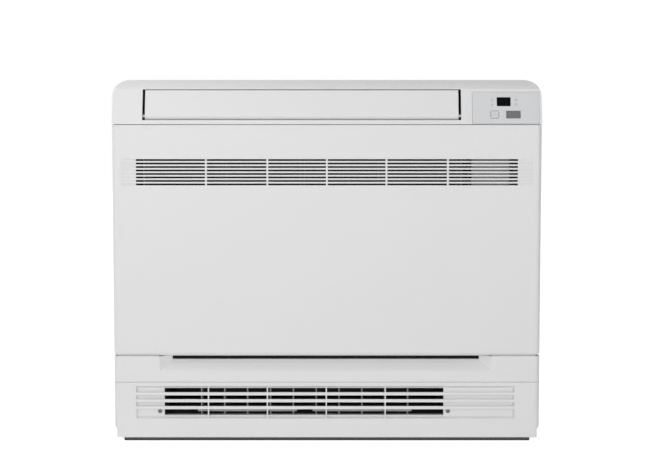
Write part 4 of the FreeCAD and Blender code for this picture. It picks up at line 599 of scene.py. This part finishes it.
def bar(width: float, height: float, middle: Point2 = (0.0, 0.0)) -> Outline:
    """Outlines an upright bar.

    Args:
        width: Its width.
        height: Its height.
        middle: Its centre.

    Returns:
        The closed outline.
    """
    x, y = middle
    return [
        (x - width / 2, y - height / 2),
        (x + width / 2, y - height / 2),
        (x + width / 2, y + height / 2),
        (x - width / 2, y + height / 2),
    ]


def patch(across: Point2, levels: Point2) -> Outline:
    """Outlines a patch between two places across and two levels.

    Args:
        across: Its left and right.
        levels: Its foot and top.

    Returns:
        The closed outline.
    """
    middle = ((across[0] + across[1]) / 2, (levels[0] + levels[1]) / 2)
    return bar(across[1] - across[0], levels[1] - levels[0], middle)


def shifted(outline: Outline, by: Point2) -> Outline:
    """Gives the outline moved by a distance across and a distance up."""
    return [(x + by[0], y + by[1]) for x, y in outline]


@dataclass
class PrintWork:
    """Thin printed or pressed marks laid on a face."""

    shop: FinishShop
    thickness: float = 0.05 * MM

    def lay(
        self, name: str, body: str, finish: Finish, slot: str, plane: Plane, outlines: Sequence[Outline]
    ) -> bpy.types.Object:
        """Builds one piece from flat outlines.

        Args:
            name: The piece's name.
            body: The body that it rides on.
            finish: Its finish.
            slot: The record's slot that the piece goes with; not used.
            plane: The face that it lies on.
            outlines: Closed outlines in the face's own coordinates.

        Returns:
            The new object.
        """
        mesh = bpy.data.meshes.new(name)
        work = bmesh.new()
        for outline in outlines:
            lower = [work.verts.new(plane.point(x, y)) for x, y in outline]
            upper = [work.verts.new(plane.point(x, y, self.thickness)) for x, y in outline]
            work.faces.new(upper)
            count = len(outline)
            for index in range(count):
                after = (index + 1) % count
                work.faces.new((lower[index], lower[after], upper[after], upper[index]))
        work.normal_update()
        bmesh.ops.triangulate(work, faces=[face for face in work.faces if len(face.verts) > 4])
        bmesh.ops.recalc_face_normals(work, faces=work.faces)
        work.to_mesh(mesh)
        work.free()
        piece = bpy.data.objects.new(name, mesh)
        bpy.context.scene.collection.objects.link(piece)
        mesh.materials.append(self.shop.material(finish))
        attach(piece, body)
        LOG.info("%s rides on %s", name, body)
        return piece


@dataclass
class Controls:
    """Marks of the control plate: indicator signs, the power sign and the unlit digits."""

    print_work: PrintWork
    sign_places: tuple[Point2, ...] = ((-22.0, 12.5), (17.0, 12.5), (-22.0, 4.5), (17.0, 4.5))
    sign_radius: float = 2.2 * MM
    sign_line: float = 0.8 * MM
    power_radius: float = 2.6 * MM
    power_line: float = 0.35 * MM
    power_start: float = 120.0
    power_sweep: float = 300.0
    power_bar_share: float = 1.2
    power_bar_lift_share: float = 0.9
    rim_line: float = 0.9 * MM
    rim_inset_share: float = 1.5
    rim_share: float = 0.8
    digit_width: float = 6.0 * MM
    digit_height: float = 8.5 * MM
    digit_gap: float = 2.6 * MM
    segment: float = 0.9 * MM
    level_cut_share: float = 2.2
    upright_cut_share: float = 1.6

    def build(self) -> None:
        """Builds every mark."""
        self._signs()
        self._power_sign()
        self._digits()

    def _signs(self) -> None:
        """Lays four small generic signs beside the display."""
        plane = front_plane("control_panel")
        outlines = []
        for (x, y), sign in zip(self.sign_places, self._sign_shapes()):
            outlines += [shifted(outline, (x * MM, y * MM)) for outline in sign]
        self.print_work.lay("indicator_signs", CABINET, PRINT_GREY, "panel_grey_plastic", plane, outlines)

    def _sign_shapes(self) -> tuple[list[Outline], ...]:
        """Draws the four signs: a ring with a dot, three level bars, a cross, and a half ring on a bar.

        Returns:
            The outlines of each sign, around its own middle.
        """
        radius = self.sign_radius
        line = self.sign_line
        dot = [ring(radius, line / 2), ring(radius / 4, radius / 4)]
        arm = radius - line / 2
        cross = [bar(radius * 2, line)]
        cross += [bar(line, arm, (0.0, way * (line + arm) / 2)) for way in (-1, 1)]
        levels = [bar(radius * 2, line, (0.0, way * radius * 2 / 3)) for way in (-1, 0, 1)]
        dome = [ring(radius, line, 0.0, 180.0), bar(radius * 2, line, (0.0, -radius / 2))]
        return dot, levels, cross, dome

    def _power_sign(self) -> None:
        """Lays an open ring with a bar on the button, and four bars along its rim."""
        plane = front_plane("on_off_button")
        low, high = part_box("on_off_button")
        half = (high.x - low.x) / 2 - self.rim_line * self.rim_inset_share
        radius = self.power_radius
        outlines = [
            ring(radius, self.power_line, self.power_start, self.power_sweep),
            bar(self.power_line, radius * self.power_bar_share, (0.0, radius * self.power_bar_lift_share)),
        ]
        for way in (-1, 1):
            outlines.append(bar(half * 2 * self.rim_share, self.rim_line, (0.0, way * half)))
            outlines.append(bar(self.rim_line, half * 2 * self.rim_share, (way * half, 0.0)))
        self.print_work.lay("power_sign", "button", PRINT_GREY, "white_plastic", plane, outlines)

    def _digits(self) -> None:
        """Lays two unlit seven-bar digits in the display."""
        plane = front_plane("display_window")
        long_x = self.digit_width - self.segment * self.level_cut_share
        long_y = self.digit_height / 2 - self.segment * self.upright_cut_share
        half_x = (self.digit_width - self.segment) / 2
        half_y = (self.digit_height - self.segment) / 2
        outlines = []
        for side in (-1, 1):
            x = side * (self.digit_width + self.digit_gap) / 2
            outlines += [bar(long_x, self.segment, (x, level * half_y)) for level in (-1, 0, 1)]
            outlines += [
                bar(self.segment, long_y, (x + way * half_x, level * half_y / 2))
                for way in (-1, 1)
                for level in (-1, 1)
            ]
        self.print_work.lay("unlit_digits", CABINET, SEGMENT_GHOST, "smoked_window", plane, outlines)


@dataclass
class CoverScrews:
    """Cross drives in the two screws of the lower cover, laid as flat dark crosses of painted shade for the shadow in
    each recess.
    """

    print_work: PrintWork
    drive_share: float = 0.6
    blade_share: float = 0.16

    def build(self) -> None:
        """Lays a dark cross of painted shade on each screw head."""
        low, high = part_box("lower_cover_screws")
        radius = (high.z - low.z) / 2
        reach = radius * 2 * self.drive_share
        blade = radius * 2 * self.blade_share
        plane = slope_plane((0.0, low.y, low.z + radius), UPRIGHT)
        outlines = []
        for x in (low.x + radius, high.x - radius):
            outlines.append(bar(reach, blade, (x, 0.0)))
            outlines += [bar(blade, (reach - blade) / 2, (x, way * (reach + blade) / 4)) for way in (-1, 1)]
        self.print_work.lay("screw_drives", CABINET, DRIVE_SHADE, "screw_steel", plane, outlines)


@dataclass
class PaintedShadeSheets:
    """Near-black sheets on the bulkhead: painted shade that keeps the slots dark where the inside behind them lies in
    shadow.
    """

    print_work: PrintWork
    lap: float = 12.0 * MM
    edge_gap: float = 2.0 * MM
    side_gap: float = 0.1 * MM
    rail_start: float = 0.4 * MM
    rail_width: float = 2.5 * MM
    post_width: float = 8.5 * MM
    slot_reach_share: float = 0.45
    slot_drop: float = 48.0 * MM
    scoop_inset: float = 94.0 * MM
    thickness: float = 0.8 * MM

    def build(self) -> None:
        """Lays the strip behind the intake slot and the patches on both sides of the filter and on its rails."""
        sill_low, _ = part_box("intake_sill")
        panel_low, panel_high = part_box("front_panel")
        filter_low, filter_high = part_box("filter_frame")
        _, bracket_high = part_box("panel_hinge_brackets")
        plane = slope_plane((0.0, bracket_high.y, 0.0), UPRIGHT)
        half = panel_high.x - self.scoop_inset
        strip = patch((-half, half), (sill_low.z + self.edge_gap, panel_low.z + self.lap - self.edge_gap))
        levels = (
            panel_high.z - (panel_high.z - panel_low.z) * self.slot_reach_share,
            panel_high.z - self.slot_drop,
        )
        rail_end = self.rail_start + self.rail_width
        beside = rail_end + self.side_gap
        left = patch((panel_low.x + self.lap, filter_low.x - beside), levels)
        right = patch((filter_high.x + beside, filter_high.x + rail_end + self.post_width), levels)
        # Painted shade: the sheets darken what shows through the slots.
        painted_shade_sheets = PrintWork(self.print_work.shop, self.thickness)
        painted_shade_sheets.lay("bulkhead_shade_sheets", CABINET, PAINTED_SHADE_SHEET, "black_plastic", plane, [strip, left, right])
        near = self.rail_start + self.side_gap
        far = rail_end - self.side_gap
        rails = [
            patch((filter_low.x - far, filter_low.x - near), levels),
            patch((filter_high.x + near, filter_high.x + far), levels),
        ]
        rail_face = slope_plane((0.0, filter_low.y, 0.0), UPRIGHT)
        painted_shade_sheets.lay("rail_shade_sheets", CABINET, PAINTED_SHADE_SHEET, "black_plastic", rail_face, rails)


@dataclass
class MouthLips:
    """Grey lips that lean on the foot of the lowest slot, and a white lining on the duct's floor behind them; the
    lips' grey is painted shade for the white foot in shadow.
    """

    print_work: PrintWork
    thickness: float = 0.4 * MM
    edge_gap: float = 0.5 * MM
    foot_level: float = 33.5 * MM
    wall_gap: float = 0.3 * MM
    reach: float = 1.7 * MM
    slope: float = 38.0
    floor_drop: float = 1.5 * MM
    side_gap: float = 12.5 * MM
    pin_gap: float = 2.6 * MM

    def build(self) -> None:
        """Lays one lip in each field of the slot, and the lining up to the vanes' pins."""
        low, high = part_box("lower_duct")
        wall = low.y - self.wall_gap
        foot = low.z + self.foot_level
        start = wall - self.reach * math.cos(math.radians(self.slope)) - self.thickness
        plane = slope_plane((0.0, start, foot), self.slope)
        levels = (self.thickness / 2, self.reach)
        gap = self.edge_gap
        lips = [patch((left + gap, end - gap), levels) for left, end in self._fields(wall, foot)]
        work = PrintWork(self.print_work.shop, self.thickness)
        # The lips catch the lamps' real light on their slope, and their grey adds painted shade.
        work.lay("mouth_lips", CABINET, LIP_PAINTED_SHADE_GREY, "vane_plastic", plane, lips)
        vane_low, vane_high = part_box("lower_left_vane_1")
        pin_half = (vane_high.x - vane_low.x) / 2 + self.pin_gap
        depth = (vane_low.y + vane_high.y) / 2 - pin_half - low.y
        strip = patch((low.x + self.side_gap, high.x - self.side_gap), (gap, depth))
        floor = slope_plane((0.0, low.y, foot - self.floor_drop), FLAT)
        work.lay("mouth_lining", CABINET, WHITE, "white_plastic", floor, [strip])

    @staticmethod
    def _fields(wall: float, foot: float) -> list[Point2]:
        """Finds the fields of the lowest slot from the corners of its foot.

        Args:
            wall: Where the back of the grille's wall lies.
            foot: The level of the slot's foot.

        Returns:
            The left and right end of each field.
        """
        near = 0.05 * MM
        corners = [vertex.co for vertex in frame["nodes"]["lower_cover"].data.vertices]
        places = {
            round(corner.x / near) * near
            for corner in corners
            if abs(corner.y - wall) < near and abs(corner.z - foot) < near
        }
        ends = sorted(places)
        return list(zip(ends[::2], ends[1::2]))


@dataclass
class SillSeals:
    """White seals that lean on both ends of the sill and close the seam under the panel."""

    print_work: PrintWork
    thickness: float = 0.3 * MM
    lift: float = 0.02 * MM
    front_gap: float = 0.2 * MM
    reach: float = 2.75 * MM
    slope: float = 20.0
    outer_inset: float = 7.2 * MM
    inner_insets: Point2 = (74.7 * MM, 78.7 * MM)

    def build(self) -> None:
        """Lays the two seals, clear of the round edge that the panel turns on."""
        low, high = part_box("intake_sill")
        plane = slope_plane((0.0, low.y + self.front_gap, high.z + self.lift), self.slope)
        seals = [
            patch((low.x + self.outer_inset, low.x + self.inner_insets[0]), (0.0, self.reach)),
            patch((high.x - self.inner_insets[1], high.x - self.outer_inset), (0.0, self.reach)),
        ]
        work = PrintWork(self.print_work.shop, self.thickness)
        work.lay("sill_seals", CABINET, WHITE, "white_plastic", plane, seals)


@dataclass
class Dressing:
    """Puts the finishes on the CAD nodes."""

    shop: FinishShop
    finishes: dict[str, Finish] = field(default_factory=lambda: {finish.slot: finish for finish in FINISHES})

    def dress(self) -> None:
        """Gives every node the finish of its slot in the record."""
        for entry in frame["record"]["subparts"]:
            node = frame["nodes"][entry["node"]]
            finish = self.finishes[entry["material_slot"]]
            node.data.materials.clear()
            node.data.materials.append(self.shop.material(finish))
            LOG.info("%s has the finish %s", entry["node"], finish.slot)


@dataclass(frozen=True)
class Lamp:
    """A soft square lamp: its name, place, side and power in watts."""

    name: str
    place: Point3
    size: float
    power: float


@dataclass
class Studio:
    """White floor and background, soft lights and the camera."""

    camera_place: Point3 = (0.0, -2.5075, 0.48)
    tilt_down: float = 4.0
    lens: float = 79.0
    sensor: float = 36.0
    shift_x: float = 8.6 / IMAGE_WIDTH
    shift_y: float = 15.0 / IMAGE_WIDTH
    floor_reach: float = 14.0
    floor_colour: Colour = (0.86, 0.86, 0.86)
    floor_roughness: float = 0.9
    floor_lift: float = 0.8
    world_light: float = 0.28
    right_shade_share: float = 0.3
    lamps: tuple[Lamp, ...] = (
        Lamp("key", (-0.8, -3.4, 1.1), 2.4, 36.0),
        Lamp("fill", (1.7, -3.3, 0.8), 2.2, 30.0),
        Lamp("side", (-1.2, -0.35, 1.45), 1.0, 8.5),
    )

    def build(self) -> None:
        """Builds the whole studio."""
        bpy.context.scene.view_settings.view_transform = "Standard"
        self._world()
        self._floor()
        for lamp in self.lamps:
            self._hang(lamp)
        self._camera()

    @staticmethod
    def _seen(board: NodeBoard) -> bpy.types.NodeSocket:
        """Adds a mask for rays that show the background: from the camera, off gloss or through glass.

        Args:
            board: The board of the world or of the floor.

        Returns:
            The mask's socket.
        """
        path = board.put("ShaderNodeLightPath")
        direct = board.maths("MAXIMUM", path.outputs["Is Camera Ray"], path.outputs["Is Glossy Ray"])
        return board.maths("MAXIMUM", direct, path.outputs["Is Transmission Ray"])

    def _right_shade(self, board: NodeBoard) -> bpy.types.NodeSocket:
        """Adds a factor that dims the room toward its right side, but not where the background itself is seen.

        Args:
            board: The world's board.

        Returns:
            The factor's socket.
        """
        way = board.put("ShaderNodeSeparateXYZ", Vector=board.put("ShaderNodeTexCoord").outputs["Generated"])
        rightward = board.maths("MAXIMUM", way.outputs["X"], 0.0)
        unseen = board.maths("SUBTRACT", 1.0, board.put("ShaderNodeLightPath").outputs["Is Camera Ray"])
        loss = board.maths("MULTIPLY", board.maths("MULTIPLY", rightward, unseen), self.right_shade_share)
        return board.maths("SUBTRACT", 1.0, loss)

    def _world(self) -> None:
        """Builds the white background, which lights the part less than it shows."""
        world = bpy.data.worlds.new("studio_white")
        world.use_nodes = True
        world.node_tree.nodes.clear()
        board = NodeBoard(world.node_tree)
        share = board.maths("MULTIPLY", self._seen(board), 1.0 - self.world_light)
        strength = board.maths("ADD", share, self.world_light)
        strength = board.maths("MULTIPLY", strength, self._right_shade(board))
        glow = board.put("ShaderNodeBackground", Color=FULL_WHITE, Strength=strength)
        output = board.put("ShaderNodeOutputWorld")
        board.join(glow.outputs["Background"], output.inputs["Surface"])
        bpy.context.scene.world = world

    def _floor(self) -> None:
        """Builds the plain white floor, which keeps the part's shadow."""
        reach = self.floor_reach
        mesh = bpy.data.meshes.new("studio_floor")
        corners = [(-reach, -reach, 0.0), (reach, -reach, 0.0), (reach, reach, 0.0), (-reach, reach, 0.0)]
        mesh.from_pydata(corners, [], [(0, 1, 2, 3)])
        floor = bpy.data.objects.new("studio_floor", mesh)
        bpy.context.scene.collection.objects.link(floor)
        material = bpy.data.materials.new("studio_floor")
        material.use_nodes = True
        material.node_tree.nodes.clear()
        board = NodeBoard(material.node_tree)
        shader = board.put("ShaderNodeBsdfPrincipled", Base_Color=rgba(self.floor_colour))
        shader.inputs["Roughness"].default_value = self.floor_roughness
        shader.inputs["Emission Color"].default_value = FULL_WHITE
        lift = board.maths("MULTIPLY", self._seen(board), self.floor_lift)
        board.join(lift, shader.inputs["Emission Strength"])
        output = board.put("ShaderNodeOutputMaterial")
        board.join(shader.outputs["BSDF"], output.inputs["Surface"])
        mesh.materials.append(material)

    @staticmethod
    def _hang(lamp: Lamp) -> None:
        """Hangs a lamp so that it looks at the part.

        Args:
            lamp: The lamp to hang.
        """
        data = bpy.data.lights.new(lamp.name, "AREA")
        data.shape = "SQUARE"
        data.size = lamp.size
        data.energy = lamp.power
        low, high = CAD_BOX
        way = (Vector(low) + Vector(high)) / 2 - Vector(lamp.place)
        hung = bpy.data.objects.new(lamp.name, data)
        hung.location = lamp.place
        hung.rotation_euler = way.to_track_quat("-Z", "Y").to_euler()
        bpy.context.scene.collection.objects.link(hung)

    def _camera(self) -> None:
        """Sets the camera to the photograph's view."""
        data = bpy.data.cameras.new("photo_camera")
        data.lens = self.lens
        data.sensor_width = self.sensor
        data.shift_x = self.shift_x
        data.shift_y = self.shift_y
        camera = bpy.data.objects.new("photo_camera", data)
        camera.location = self.camera_place
        camera.rotation_euler = (math.radians(UPRIGHT - self.tilt_down), 0.0, 0.0)
        bpy.context.scene.collection.objects.link(camera)
        bpy.context.scene.camera = camera


def main() -> None:
    """Builds the dressed part and its studio."""
    logging.basicConfig(level=logging.INFO, format="%(message)s")
    shop = FinishShop()
    Dressing(shop).dress()
    print_work = PrintWork(shop)
    Controls(print_work).build()
    CoverScrews(print_work).build()
    PaintedShadeSheets(print_work).build()
    MouthLips(print_work).build()
    SillSeals(print_work).build()
    Studio().build()


if __name__ == "__main__":
    main()
